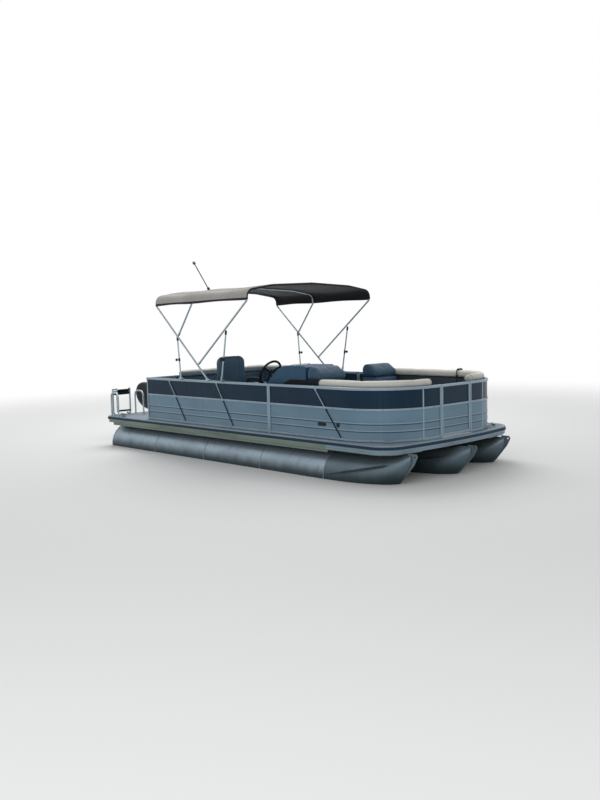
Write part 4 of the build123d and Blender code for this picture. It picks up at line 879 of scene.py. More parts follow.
def build_lounges(settings):
    """Bow and aft lounges: cream rolls over dark backrests, boxed seat cushions, lids and headrests."""
    roll = box_profile(BACK_TOP - settings.roll_low - 0.004, 0.036, 0.004, 6)
    face = drawn_profile([(0.0, 0.0), (0.104, 0.0), (0.104, 0.300), (0.030, 0.300), (0.012, 0.16)], 0.018, 0.034)
    rolls = dict(low=settings.roll_low, profile=roll, edge=0.034, body="hull", depth=0.005, cap=0.006,
                 replaces=("lounge_backrests",))
    faces = dict(low=BASE_TOP, profile=face, edge=0.016, body="hull", depth=0.006, cap=0.008,
                 replaces=("lounge_backrests",), slot="blue_vinyl")
    # The backrests' middles end 402 mm from the centreline, beside the bow gate.
    stop = fence_reach(0.402, 0.09)
    for name, start, side, cuts in (
        ("starboard_bow", 1.708, -1, (0.65, 1.3)), ("port_bow", 0.867, 1, (0.6, 1.1, 1.6, 2.1)),
    ):
        along = np.linspace(start, stop, 140)
        make_pad(f"backrest_roll_{name}", fence_line(BACK_INNER, along, side), fence_line(BACK_OUTER, along, side),
                 materials=["cream vinyl"], seams=cuts, end_pipe=True, **rolls)
        along = np.linspace(start + 0.01, stop - 0.01, 140)
        make_pad(f"backrest_face_{name}", fence_line(BACK_INNER, along, side), fence_line(0.046, along, side),
                 materials=["dusk vinyl"], seams=np.arange(0.22, (stop - start) * 0.96, 0.22), **faces)
    outer = rounded([(-0.124, 1.173), (-1.907, 1.173), (-1.907, -0.653)], 0.130, 0.02)
    inner = rounded([(-0.124, 1.055), (-1.789, 1.055), (-1.789, -0.653)], 0.012, 0.004)
    inner, outer = (resampled(line, corner_shares(line, np.linspace(0, 1, 220))) for line in (inner, outer))
    # The aft roll is mist blue grey; the cream on its top strip is a painted highlight of sunlight.
    make_pad("backrest_roll_aft", inner, outer, materials=["cream vinyl", "mist vinyl"], side_below=BACK_TOP - 0.020,
             seams=(0.85, 1.5, 2.1, 2.9), pipe=(8,), cord="maroon piping", **rolls)
    make_pad("backrest_face_aft", inner, outer, materials=["slate vinyl"], seams=np.arange(0.25, 3.4, 0.25), **faces)

    seat = box_profile(SEAT_TOP - BASE_TOP - 0.012, 0.024, settings.crown, 8, (0.2,))

    def cushion(name, near, far, seams=(), body="hull", node="seat_cushions"):
        """A boxed seat cushion between two plan lines, with piping along its near edge."""
        make_pad(name, near, far, BASE_TOP, seat, 0.022, body, ["cream vinyl", "slate vinyl"], SEAT_TOP - 0.028,
                 seams, 0.007, 0.008, 0.7, (node,), pipe=(10,))

    # The nose cushions end where their rear line is 665 mm from the centreline.
    nose = CORNER_X + FENCE_CORNER * (math.pi / 2 - math.asin((0.665 - CORNER_Y) / (FENCE_CORNER - SEAT_BACK)))
    for name, side, start, seams in (("starboard", -1, 2.198, ()), ("port", 1, 1.708, (0.34,))):
        near = np.stack([np.linspace(start, 2.742, 120), np.full(120, side * SEAT_Y)], 1)
        cushion(f"seat_nose_{name}", near, fence_line(SEAT_BACK, np.linspace(start, nose, 120), side), seams)
    for name, x0, x1, side in (
        ("starboard_bow", 1.709, 2.188, -1), ("port_bow", 1.213, 1.698, 1), ("port_aft", -1.057, -0.183, 1),
    ):
        near, far = ([(x0, side * y), (x1, side * y)] for y in (SEAT_Y, SEAT_REAR_Y))
        cushion(f"lid_cushion_{name}", near, far, ((x1 - x0) / 2,), f"seat_lid_{name}", f"seat_lid_{name}")
    near, far = ([(x, -0.652), (x, 0.556)] for x in (-1.334, -1.782))
    cushion("seat_stern", near, far, (0.4, 0.8))
    for name, x0, x1 in (("corner", -1.782, -1.063), ("forward", -0.177, -0.123)):
        near, far = ([(x0, y), (x1, y)] for y in (SEAT_Y, SEAT_REAR_Y))
        cushion(f"seat_aft_{name}", near, far)
    for name, x0, x1, top, y0, y1 in (
        ("starboard", 1.384, 1.700, 1.350, -1.046, -0.569), ("port", 0.872, 1.200, 1.290, 0.569, 1.046),
    ):
        # Drawn in the side view: the split is 185 mm under the top, and the bow face leans by the slope.
        w, h = x1 - x0, top - BASE_TOP
        split = h - 0.185
        slope = (h - 0.09 - split) / (h - 0.09) * 0.06
        upper = [(0.006, split + 0.006), (w - 0.070 + slope, split + 0.006), (w - 0.066, h - 0.09),
                 (w - 0.190, h - 0.004), (0.046, h - 0.004), (0.006, h - 0.064)]
        lower = [(0.006, 0.0), (w - 0.008, 0.0), (w - 0.064 + slope, split), (0.006, split)]
        for part, profile, edge, depth, cap, spacing in (
            ("pillow", drawn_profile(upper, 0.03, 0.022), 0.034, 0.006, 0.008, 0.03),
            ("back", drawn_profile(lower, 0.022, 0.03), 0.020, 0.004, 0.006, 0.035),
        ):
            near, far = ([(x, y0), (x, y1)] for x in (x0, x1))
            make_pad(f"headrest_{part}_{name}", near, far, BASE_TOP, profile, edge, "hull", ["slate vinyl"], None,
                     ((y1 - y0) / 2,), depth, cap, 0.7, ("lounge_headrests",), "blue_vinyl", spacing=spacing)
    swell_pads(settings.pressure, 20)


def build_chair(settings):
    """Captain's chair: bolstered seat, channelled back with round shoulders, and two padded arms."""
    half, shoulder = 0.237, 0.09
    y = np.linspace(CHAIR_Y - half, CHAIR_Y + half, 30)
    chair = dict(body="captain_seat", replaces=("captain_chair",), slot="blue_vinyl", spacing=0.03)
    bolstered = dict(chair, seams=(0.10, 0.374), depth=0.008, cap=settings.swell, fill=0.7)
    front_x = CHAIR_X + 0.248 - 0.03 * ((y - CHAIR_Y) / half) ** 4
    make_pad("chair_seat", np.stack([front_x, y], 1), np.stack([np.full(30, CHAIR_X - 0.236), y], 1), 0.812,
             box_profile(0.118, 0.034, 0.006, 8, (0.18,)), 0.034, materials=["cream vinyl", "slate vinyl"],
             side_below=0.895, pipe=(10,), **bolstered)
    beside = np.clip(np.abs(y - CHAIR_Y) - (half - shoulder), 0, shoulder)
    top = 1.448 - (shoulder - np.sqrt(np.maximum(shoulder**2 - beside**2, 0)))
    # Drawn as a plan (y, z) with its height forward from the back's rear face, then stood up.
    make_pad("chair_back", np.stack([y, np.full(30, 0.915)], 1), np.stack([y, top], 1), 0.0,
             box_profile(0.088, 0.030, 0.006, 12, (0.28, 0.62)), 0.032, materials=["slate vinyl"],
             turn=([2, 0, 1], (CHAIR_X - 0.298, 0, 0)), **bolstered)
    loops = []
    for x0, x1, z0, z1, radius, step in (
        (-0.380, -0.165, 0.955, 1.085, 0.04, 0.015), (-0.450, -0.100, 0.885, 1.136, 0.07, 0.02),
    ):
        loop = rounded([(-0.275, z0), (x0, z0), (x0, z1), (x1, z1), (x1, z0), (-0.2749, z0)], radius, step)
        loops.append(resampled(loop, np.linspace(0, 1, 60) * lengths(loop)[-1]))
    for name, inner_y in (("starboard", CHAIR_Y - 0.284), ("port", CHAIR_Y + 0.241)):
        make_pad(f"chair_arm_{name}", *loops, 0.0, box_profile(0.043, 0.016, 0.0, 4), 0.016, cap=0.003, fill=0.8,
                 materials=["dusk vinyl"], turn=([0, 2, 1], (0, inner_y, 0)), closed=True, **chair)
    swell_pads(3.0, 16)


def build_fence_trim(settings):
    """Fence: screws along its rails, dark strips of painted shade on the braces, vents, latches, threshold and port
    strap.
    """
    stop = fence_reach(BOW_GATE_HALF + 0.05)
    for side, name in SIDES:
        screws, outs = [], []
        # Each rail's face as an inset from the outline, its height, and how far apart its screws are.
        for inset, z, pitch in ((-0.0112, MID_RAIL_Z, settings.screw_pitch), (-0.0127, FOOT_RAIL_Z, 0.62)):
            along = np.arange(-1.80, stop, pitch)
            if side > 0:
                along = along[(along < PORT_GATE[0] - 0.03) | (along > PORT_GATE[1] + 0.03)]
            screws.extend(np.insert(fence_line(inset, along, side), 2, z, 1))
            outs.extend(np.insert(fence_line(-1.0, along, side) - fence_line(0.0, along, side), 2, 0, 1))
        make_piece(f"fence_screws_{name}", [repeated(dome(0.0052, 0.0026), screws, outs)], "black plastic", "hull")
    brace_shade_strips = []
    # Painted shade on each brace: a wide dark strip below the middle rail and a narrow one above it, each between two
    # shares of its part.
    for top_x, foot_x, side in BRACES:
        foot, top = (foot_x, BRACE_Z[0]), (top_x, BRACE_Z[1])
        middle = along_between(foot, top, (MID_RAIL_Z - foot[1]) / (top[1] - foot[1]))
        for a, b, shares, shift, width in (
            (foot, middle, (0.055, 0.955), 0.0, 0.018), (middle, top, (0.07, 0.87), 0.011, 0.008),
        ):
            ends = np.array([along_between(a, b, share) for share in shares]) + (shift, 0)
            brace_shade_strips.append(bar(np.insert(ends, 1, side * (FENCE_HALF + 0.0125), 1), width, 0.003, 0.001, (0, side, 0)))
    make_piece("brace_painted_shade", brace_shade_strips, "rubber", "hull")
    rims, backs = [], []
    for x, z, width, height in ((1.804, 0.661, 0.138, 0.036), (2.075, 0.667, 0.048, 0.048)):
        corner = height / 2 - 0.0005
        ring = rectangle(width, height, corner, 7) + (x, z)
        rims.append(tube(np.insert(ring, 1, -1.2095, 1), 0.0035, 8, closed=True))
        backs.append(placed(slab(width, height, 0.003, corner), (x, -1.2075, z), (0, -1, 0)))
    make_piece("hull_vent_rims", rims, "black plastic", "hull")
    make_piece("hull_vent_backs", backs, "dial", "hull")
    reach = BOW_GATE_HALF - 0.004
    sill = np.linspace((FENCE_BOW - 0.002, -reach, 0.4805), (FENCE_BOW - 0.002, reach, 0.4805), 9)
    ribs = [bar(sill + (shift, 0, 0.003), 0.005, 0.003, 0.001) for shift in (-0.014, 0.0, 0.014)]
    make_piece("gate_threshold", [bar(sill, 0.046, 0.005, 0.002), *ribs], "pale", "hull")
    latch = [
        slab(0.034, 0.078, 0.012, 0.006),
        placed(slab(0.016, 0.040, 0.012, 0.005), (0, 0.004, 0.012)),
        placed(turned([(0.007, 0), (0.007, 0.03), (0.005, 0.034)], 14), (0.0, 0.018, 0.018), (0.3, 0, 1)),
    ]
    for name, at, out in (
        ("bow_gate", (2.9123, -0.258, 1.010), (-1, 0, 0)),
        ("port_gate", (0.810, 1.1923, 1.010), (0, -1, 0)),
        ("stern_gate", (-1.9265, -0.745, 1.010), (1, 0, 0)),
    ):
        make_piece(f"{name}_latch", [placed(part, at, out) for part in latch], "black plastic", name)
    catch = slab(0.022, 0.060, 0.016, 0.004)
    catches = [placed(catch, (2.9123, -0.3105, 1.012), (-1, 0, 0)), placed(catch, (0.8625, 1.1923, 1.012), (0, -1, 0))]
    make_piece("latch_catches", catches, "steel", "hull")
    route = [(2.200, 1.047, 0.985), (2.200, 1.047, 1.214), (2.200, 1.178, 1.214), (2.200, 1.178, 1.136)]
    loop = rounded(route, [0.030, 0.026], 0.006)
    make_piece("roll_strap", [bar(loop, 0.026, 0.003, 0.0012, None)], "webbing", "hull")
    buckle = placed(slab(0.036, 0.030, 0.006, 0.004), (2.200, 1.0445, 1.120), (0, -1, 0))
    make_piece("strap_buckle", [buckle], "black plastic", "hull")


def build_top_fittings():
    """Sun top: hand knobs and jaws on the struts, caps on the pins, screws in the feet and the pole's lamp."""
    stud, head = turned([(0.004, 0.0), (0.004, 0.030)], 10), knob()
    for name, (foot, top), share in (("rear_strut", REAR_STRUT, 0.45), ("front_strut", FRONT_STRUT, 0.41)):
        way = np.array([top[0] - foot[0], 0, top[1] - foot[1]])
        way /= np.linalg.norm(way)
        x, z = along_between(foot, top, share)
        for side, end in SIDES:
            rider = "hull" if name == "rear_strut" else f"front_strut_{end}"
            at, out = (x, side * (TOP_Y + 0.009), z), (0, side, 0)
            collar = stepped((x, side * TOP_Y, z), way, (-0.024, -0.021, 0.021, 0.024), 0.0145, 20, [0.9, 1, 1, 0.9])
            make_piece(f"{name}_knob_{end}", [placed(stud, at, out), placed(head, at, out), collar], "black plastic",
                       rider)
            jaw = stepped((top[0], side * TOP_Y, top[1]), way, (-0.060, -0.056, -0.012, -0.004), 0.0150, 20,
                          [0.85, 1, 1, 0.8])
            make_piece(f"{name}_jaw_{end}", [jaw], "black plastic", rider)
    caps = [placed(dome(0.0085, 0.006, 20), (x, side * (TOP_Y + face * 0.0135), z), (0, side * face, 0))
            for x, z in (FRONT_PIN, MID_PIN, FRONT_STRUT[0]) for side, _ in SIDES for face in (1, -1)]
    make_piece("top_pin_heads", caps, "steel", "hull")
    screws = [(x + shift, side * (TOP_Y - 0.012), z)
              for x, z, apart in ((-0.426, 1.142, 0.026), (-1.055, 1.142, 0.026), (-0.106, 1.136, 0.0234))
              for side, _ in SIDES for shift in (-apart, apart)]
    make_piece("top_foot_screws", [repeated(dome(0.0045, 0.0024), screws)], "steel", "hull")
    way = np.array([-0.391, 0, 0.477])
    way /= np.linalg.norm(way)
    glass = turned([(0.0245, -0.016), (0.0250, 0.0), (0.0245, 0.012), (0.016, 0.024), (0.005, 0.0252)], 24)
    make_piece("pole_lamp", [placed(glass, (-1.990, -0.200, 2.900), way)], "clear", "hull")
    nut = stepped((BOW_X[0], -0.200, 2.425), way, (0.050, 0.052, 0.078, 0.082), 0.0205, 16, [0.9, 1, 1, 0.75])
    make_piece("pole_collar", [nut], "black plastic", "hull")


def build_helm():
    """Helm: dash with blank dials and switches, throttle box with its lever, grab bar, dark sheets of painted
    shade on the console's and headrest's sides, wheel hub and grips."""
    rise = np.subtract(DASH_HIGH, DASH_LOW)
    rise /= np.linalg.norm(rise)
    port, up, out = np.array([0, 1.0, 0]), np.array([rise[0], 0, rise[1]]), np.array([-rise[1], 0, rise[0]])

    def on_dash(run, across, lift=0.0):
        """A point over the console's slope: run up it from its lower edge, and across from its middle."""
        return np.array([DASH_LOW[0], DASH_Y, DASH_LOW[1]]) + up * run + port * across + out * lift

    make_piece("dash_panel", [placed(slab(0.470, 0.250, 0.006, 0.030), on_dash(0.165, 0.0), out)], "dial", "hull")
    bezels, faces, needles = [], [], []
    for number, (across, radius) in enumerate(((-0.150, 0.036), (-0.055, 0.046), (0.055, 0.046), (0.150, 0.036))):
        hoop = tube(np.insert(circle(radius, 32), 2, 0, 1), 0.004, 10, closed=True)
        bezels.append(placed(hoop, on_dash(0.215, across, 0.0075), out))
        face = turned([(radius, 0.0), (radius, 0.003), (radius * 0.5, 0.0034)], 32)
        faces.append(placed(face, on_dash(0.215, across, 0.006), out))
        root, turn = on_dash(0.215, across, 0.0105), math.radians(35 + 40 * number)
        tip = root + (port * math.cos(turn) + up * math.sin(turn)) * radius * 0.7
        needles.append(tube([root, tip], 0.0012, 6))
        turn = np.radians(np.linspace(-40, 220, 11))
        ticks = root - out * 0.0010 + (np.outer(np.cos(turn), port) + np.outer(np.sin(turn), up)) * radius * 0.84
        needles.append(repeated(dome(0.0016, 0.0006, 6), ticks, out))
    make_piece("dial_bezels", bezels, "steel", "hull")
    make_piece("dial_faces", faces, "black plastic", "hull")
    make_piece("dial_needles", needles, "pale", "hull")
    rockers = [placed(slab(0.018, 0.034, 0.010, 0.003), on_dash(0.075, across, 0.005), out)
               for across in (-0.200, -0.172, -0.144, 0.144, 0.172, 0.200)]
    key = turned([(0.013, 0), (0.013, 0.008), (0.009, 0.011)], 20)
    make_piece("dash_switches", [*rockers, placed(key, on_dash(0.150, 0.205, 0.005), out)], "black plastic", "hull")
    box = np.array([0.760, CONSOLE_PORT_Y, 1.080])
    lever = rounded([box + (0, 0.058, 0.035), box + (-0.012, 0.062, 0.150), box + (-0.020, 0.020, 0.205)], 0.030, 0.006)
    make_piece("throttle_box", [
        placed(slab(0.110, 0.170, 0.046, 0.030, 0.006), box, port),
        placed(turned([(0.030, 0), (0.030, 0.014), (0.024, 0.018)], 28), box + (0, 0.046, 0.035), port),
        tube(lever, 0.0085, 12),
        tube([box + (-0.020, 0.045, 0.205), box + (-0.020, -0.025, 0.205)], 0.014, 16),
    ], "black plastic", "hull")
    # Painted shade: thin dark sheets on the console's and the headrest's starboard sides, where the gap above the rail
    # is in shade.
    start = (1.10, 1.070)
    shade_outline = [start, (1.372, 1.070), (1.372, 1.180), (1.085, 1.180), (0.965, 1.128), (0.945, 1.070), start]
    flat = rounded(shade_outline, [0.004, 0.010, 0.030, 0.025, 0.004], 0.008)[:-1]
    rings = np.array([np.insert(flat, 1, y, 1) for y in (-1.0495, -1.0530)])
    make_piece("console_painted_shade", [skin(rings)], "rubber", "hull")
    band = bar([(1.392, -1.0480, 1.125), (1.660, -1.0480, 1.125)], 0.006, 0.110, 0.0025)
    make_piece("headrest_painted_shade", [band], "rubber", "hull")
    ends = (-0.960, -0.610)
    hand = rounded([(1.010, y, z) for y, z in zip(np.repeat(ends, 2), (1.352, 1.362, 1.362, 1.352))], 0.006, 0.004)
    feet = [placed(turned([(0.014, 0), (0.014, 0.003), (0.009, 0.005)], 16), (1.010, y, 1.3535)) for y in ends]
    make_piece("console_grab_bar", [tube(hand, 0.0045, 12), *feet], "steel", "hull")
    door = [(1.000, 0.560), (1.300, 0.560), (1.300, 1.020), (0.720, 1.020), (0.720, 0.560), (1.000, 0.560)]
    seam = np.insert(rounded(door, 0.040, 0.01)[:-1], 1, CONSOLE_PORT_Y + 0.0004, 1)
    make_piece("console_door_seam", [tube(seam, 0.0028, 6, closed=True)], "rubber", "hull")
    rake = math.radians(WHEEL_RAKE)
    way = np.array([-math.cos(rake), 0, math.sin(rake)])
    hub = turned([(0.040, -0.012), (0.042, 0.004), (0.034, 0.012), (0.016, 0.015)], 32)
    make_piece("wheel_cap", [placed(hub, WHEEL, way)], "dial", "helm_wheel")
    grips = []
    for start in (10, 130, 250):
        turn = np.radians(np.linspace(start, start + 70, 22))
        path = WHEEL + WHEEL_R * (np.outer(np.cos(turn), port) + np.outer(np.sin(turn), np.cross(way, port)))
        grips.append(tube(path, 0.0162, 14, [0.94] + [1] * 20 + [0.94]))
    make_piece("wheel_grips", grips, "rubber", "helm_wheel")


def build_hull_trim():
    """Hull: weld beads round the tubes, drain plugs, lifting plates, screws in the deck's edge and the
    handrails' feet, and ladder treads."""
    turn = np.linspace(math.radians(-60), math.radians(240), 90)
    reach = TUBE_R + 0.0012 * np.sin(turn * 190)
    beads = []
    # The last bead of each tube joins the nosecone and is thicker.
    for y in TUBE_Y:
        for x in (-2.897, -1.70, -0.50, 0.70, 1.880):
            ring = np.stack([y + reach * np.cos(turn), TUBE_Z + reach * np.sin(turn)], 1)
            beads.append(tube(np.insert(ring, 0, x, 1), 0.0042 if x < 1.8 else 0.0055, 6))
    make_piece("tube_welds", beads, "weld", "hull")
    plug = turned([(0.020, 0), (0.020, 0.006), (0.011, 0.007), (0.011, 0.014)], 18)
    ends = [placed(shell, (-2.900, y, z), (-1, 0, 0))
            for shell, z in ((plug, -0.225), (slab(0.060, 0.060, 0.008, 0.012), 0.180)) for y in TUBE_Y[::2]]
    make_piece("tube_plugs", ends, "steel", "hull")
    edge = [(x, side * 1.2952, 0.470) for side, _ in SIDES for x in np.arange(-2.86, 2.30, 0.43)]
    outs = [(0, y, 0) for x, y, z in edge]
    make_piece("deck_edge_screws", [repeated(dome(0.0048, 0.0022), edge, outs)], "steel", "hull")
    for body, x, half, heights in (
        ("ladder_upper", -2.961, 0.146, (0.815, 0.860)), ("ladder_lower", -2.899, 0.108, (0.545, 0.838, 0.882)),
    ):
        treads = []
        for z in heights:
            line = np.linspace((x, -1.045 - half, z), (x, -1.045 + half, z), 3)
            treads.append(bar(line, 0.049, 0.0230, 0.004))
            treads += [bar(line + (shift, 0, 0.0115), 0.003, 0.0022, 0.0008, arc=2)
                       for shift in np.linspace(-0.016, 0.016, 5)]
        make_piece(f"{body}_treads", treads, "rubber", body)
    screws = [(x + 0.021 * math.cos(turn), y + 0.021 * math.sin(turn), 0.486)
              for y, x0, x1 in ((-1.258, -2.925, -2.725), (-0.820, -2.900, -2.665), (-0.560, -2.890, -2.660))
              for x in (x0, x1) for turn in np.radians([30, 150, 270])]
    make_piece("handrail_screws", [repeated(dome(0.0038, 0.0022), screws)], "steel", "hull")


def build_motor_trim():
    """Motor: cowl band, rear grip, vents, clamp bolts, anode, propeller nut and the pod's hatch."""
    band = np.insert(rectangle(0.600, 0.352, 0.122, 10) + (-3.4810, 0), 2, 0.516, 1)
    make_piece("cowl_band", [tube(band, 0.006, 8, closed=True)], "rubber", "motor")
    vents = []
    for side, _ in SIDES:
        for z in (0.800, 0.818, 0.836, 0.854):
            y = side * (0.2105 - (z - 0.80) * 0.24)
            vents.append(bar([(-3.72, y, z), (-3.60, y, z)], 0.004, 0.009, 0.0015))
    make_piece("cowl_vents", vents, "rubber", "motor")
    grip = rounded([(-3.868, -0.060, 0.600), (-3.884, -0.060, 0.600), (-3.884, 0.060, 0.600), (-3.868, 0.060, 0.600)],
                   0.008, 0.004)
    make_piece("cowl_grip", [tube(grip, 0.006, 10)], "black plastic", "motor")
    small = turned([(0.011, 0), (0.011, 0.009), (0.008, 0.011)], 6)
    large = turned([(0.021, 0), (0.021, 0.014), (0.016, 0.018)], 6)
    bolts = [placed(bolt, (x, side * y, z), (0, side, 0)) for side, _ in SIDES for bolt, x, y, z in (
        (small, -3.085, 0.1285, 0.055), (small, -3.085, 0.1285, 0.150), (small, -3.085, 0.1285, 0.250),
        (large, -3.060, 0.1405, 0.392))]
    make_piece("clamp_bolts", bolts, "steel", "hull")
    anode = placed(slab(0.080, 0.026, 0.012, 0.004), (-3.300, 0.0, -0.3095), (0, 0, -1))
    make_piece("motor_anode", [anode], "steel", "motor")
    nut = turned([(0.016, 0), (0.016, 0.012), (0.009, 0.018), (0.006, 0.024)], 6)
    make_piece("propeller_nut", [placed(nut, (-3.617, 0.0, -0.495), (-1, 0, 0))], "steel", "propeller")
    hatch = placed(slab(0.180, 0.120, 0.006, 0.020), (-3.020, 0.0, 0.3725))
    make_piece("pod_hatch", [hatch], "black plastic", "hull")


def build_base_trim():
    """Lounge bases: dark kick strips, blank vents and door seams; slats on the aft lounge's end."""
    kicks = []
    for x0, x1, side in ((1.384, 2.700, -1), (0.867, 2.700, 1), (-1.30, -0.122, 1)):
        ends = [(x, side * (BASE_Y - 0.0012), 0.514) for x in (x0 + 0.006, x1 - 0.006)]
        kicks.append(bar(ends, 0.0026, 0.066, 0.001))
    make_piece("base_kicks", kicks, "rubber", "hull")
    seams, vents = [], []
    for x0, x1, side in ((1.760, 2.140, -1), (1.250, 1.620, 1), (-1.010, -0.230, 1)):
        middle = (x0 + x1) / 2
        door = [(middle, 0.570), (x1, 0.570), (x1, 0.780), (x0, 0.780), (x0, 0.570), (middle, 0.570)]
        loop = np.insert(rounded(door, 0.030, 0.01)[:-1], 1, side * (BASE_Y - 0.0004), 1)
        seams.append(tube(loop, 0.0024, 6, closed=True))
        for z in (0.640, 0.655, 0.670, 0.685):
            vents.append(bar([(middle + reach, side * (BASE_Y - 0.0016), z) for reach in (-0.05, 0.05)],
                             0.003, 0.006, 0.0012))
    make_piece("base_door_seams", seams, "rubber", "hull")
    make_piece("base_vents", vents, "black plastic", "hull")
    slats = [bar([(-1.895, -0.6575, z), (-1.800, -0.6575, z)], 0.008, 0.022, 0.003) for z in (0.96, 1.005, 1.05, 1.095)]
    make_piece("aft_end_slats", slats, "seat base", "hull")


def seen_rays(tree):
    """1 for rays from the camera, a gloss or a clear surface, else 0."""
    rays = tree.nodes.new("ShaderNodeLightPath").outputs
    bright = add_node(tree, "Math", (rays["Is Camera Ray"], rays["Is Glossy Ray"]), operation="MAXIMUM")
    return add_node(tree, "Math", (bright, rays["Is Transmission Ray"]), operation="MAXIMUM")


def build_stage(settings):
    """Pale floor at the waterline, white background, soft lamps and the camera."""
    scene = bpy.context.scene
    half = settings.floor_half
    mesh = bpy.data.meshes.new("floor")
    mesh.from_pydata([(-half, -half, 0), (half, -half, 0), (half, half, 0), (-half, half, 0)], [], [(0, 1, 2, 3)])
    floor = bpy.data.objects.new("floor", mesh)
    scene.collection.objects.link(floor)
    # Pale floor: matt, and white by its own light far from the boat, so that it has no edge.
    pale, tree, where = start_material("floor_pale", 0.75, Base_Color=linear("#e4e5e5"), Specular_IOR_Level=0.2)
    away = add_node(tree, "VectorMath", (where,), "Value", operation="LENGTH")
    far = add_node(tree, "MapRange", (away, settings.fade_start, settings.fade_end), interpolation_type="SMOOTHSTEP")
    seen = add_node(tree, "Math", (far, seen_rays(tree)), operation="MULTIPLY")
    white = add_node(tree, "Emission", {"Color": "#ffffff", "Strength": 1.0})
    blend = add_node(tree, "MixShader", (seen, tree.nodes["Principled BSDF"].outputs[0], white))
    tree.links.new(blend, tree.nodes["Material Output"].inputs["Surface"])
    mesh.materials.append(pale)
    world = bpy.data.worlds.new("studio")
    world.use_nodes = True
    tree = world.node_tree
    soft = add_node(tree, "MapRange", (seen_rays(tree), 0.0, 1.0, settings.fill_strength, 1.0))
    back = tree.nodes["Background"].inputs
    back["Color"].default_value = (1, 1, 1, 1)
    tree.links.new(soft, back["Strength"])
    scene.world = world
    for name, power, size, place in (
        ("key", settings.key_power, 7.0, (-4.0, 3.0, 9.0)), ("fill", settings.front_power, 6.0, (7.0, -9.0, 5.0)),
    ):
        lamp = bpy.data.lights.new(name, "AREA")
        lamp.energy, lamp.size = power, size
        holder = bpy.data.objects.new(name, lamp)
        holder.location = place
        holder.rotation_mode = "QUATERNION"
        holder.rotation_quaternion = (Vector((0, 0, 0.8)) - Vector(place)).to_track_quat("-Z", "Y")
        scene.collection.objects.link(holder)
    scene.view_settings.view_transform = "Standard"
    camera = bpy.data.cameras.new("camera")
    camera.sensor_fit = "VERTICAL"
    camera.sensor_height = camera.sensor_width = SENSOR
    camera.lens = CAMERA_FOCUS / PHOTO_HEIGHT * SENSOR
    camera.clip_end = 300
    holder = bpy.data.objects.new("camera", camera)
    yaw, pitch, roll = CAMERA_TURN
    ahead = np.array([math.sin(yaw) * math.cos(pitch), math.cos(yaw) * math.cos(pitch), -math.sin(pitch)])
    level = np.array([math.cos(yaw), -math.sin(yaw), 0])
    over = np.cross(level, ahead)
    right = math.cos(roll) * level + math.sin(roll) * over
    over = -math.sin(roll) * level + math.cos(roll) * over
    holder.matrix_world = Matrix([*np.stack([right, over, -ahead, CAMERA_PLACE], 1).tolist(), [0, 0, 0, 1]])
    scene.collection.objects.link(holder)
    scene.camera = holder


# Settings


def colour_setting(name, about, code):
    """A colour property with its sRGB default."""
    return bpy.props.FloatVectorProperty(
        name=name, description=about, default=linear(code)[:3], size=3, min=0, max=1, subtype="COLOR")


def length_setting(name, about, value, **limits):
    """A length property in metres."""
    return bpy.props.FloatProperty(
        name=name, description=about, default=value, subtype="DISTANCE", unit="LENGTH", **limits)


class ColourSettings(bpy.types.PropertyGroup):
    """Main colours of the boat."""

    lower_panel: colour_setting("Lower panel", "Paint of the fence's lower panels", "#68869a")
    upper_panel: colour_setting("Upper panel", "Paint of the fence's upper panels", "#102c40")
    cushions: colour_setting("Cushions", "Vinyl of the seats and rolls", "#cfcdc6")
    backs: colour_setting("Backs", "Vinyl of the headrests and the chair", "#2e5068")
    canopy: colour_setting("Canopy", "Upper side of the sun top's cloth", "#9d9a96")


class CanopySettings(bpy.types.PropertyGroup):
    """Sizes of the sun top."""

    sag: length_setting("Sag", "How far the cloth dips between two bows", 0.016, min=0, max=0.05)


class LoungeSettings(bpy.types.PropertyGroup):
    """Sizes of the lounges' padding."""

    roll_low: length_setting(
        "Roll underside", "Height of the backrest roll's underside over the waterline", 1.112, min=1.05, max=1.15)
    crown: length_setting("Crown", "Rise of a seat cushion's middle over its edges", 0.008, min=0, max=0.012)
    pressure: bpy.props.FloatProperty(
        name="Pressure", description="Cloth pressure that swells the cushions", default=3.5, min=0, max=10)


class ChairSettings(bpy.types.PropertyGroup):
    """Sizes of the captain's chair."""

    swell: length_setting("Swell", "Most that a point of the chair's padding moves out", 0.007, min=0, max=0.02)


class TrimSettings(bpy.types.PropertyGroup):
    """Spacing of small fittings."""

    screw_pitch: length_setting("Screw pitch", "Distance between two screws along the middle rail", 0.345, min=0.05)


class StageSettings(bpy.types.PropertyGroup):
    """Floor and lamps."""

    floor_half: length_setting("Floor", "Half the side of the floor", 90.0, min=10)
    fade_start: length_setting(
        "Fade start", "Distance from the boat's middle where the floor starts to turn white", 5.5, min=1)
    fade_end: length_setting("Fade end", "Distance from the boat's middle where the floor is white", 15.0, min=2)
    fill_strength: bpy.props.FloatProperty(
        name="Sky", description="Strength of the even light from all round", default=0.55, min=0, max=2)
    key_power: bpy.props.FloatProperty(
        name="Key", description="Power of the large lamp overhead", default=620.0, min=0, unit="POWER")
    front_power: bpy.props.FloatProperty(
        name="Front", description="Power of the lamp on the camera's side", default=140.0, min=0, unit="POWER")


SETTINGS = (
    ("pontoon_colours", ColourSettings),
    ("pontoon_canopy", CanopySettings),
    ("pontoon_lounges", LoungeSettings),
    ("pontoon_chair", ChairSettings),
    ("pontoon_trim", TrimSettings),
    ("pontoon_stage", StageSettings),
)


# Operators


class PONTOON_OT_finish(bpy.types.Operator):
    """Put finished materials on the solids that stay"""

    bl_idname = "pontoon.finish_solids"
    bl_label = "Finish solids"

    def execute(self, context):
        finish_solids()
        return {"FINISHED"}


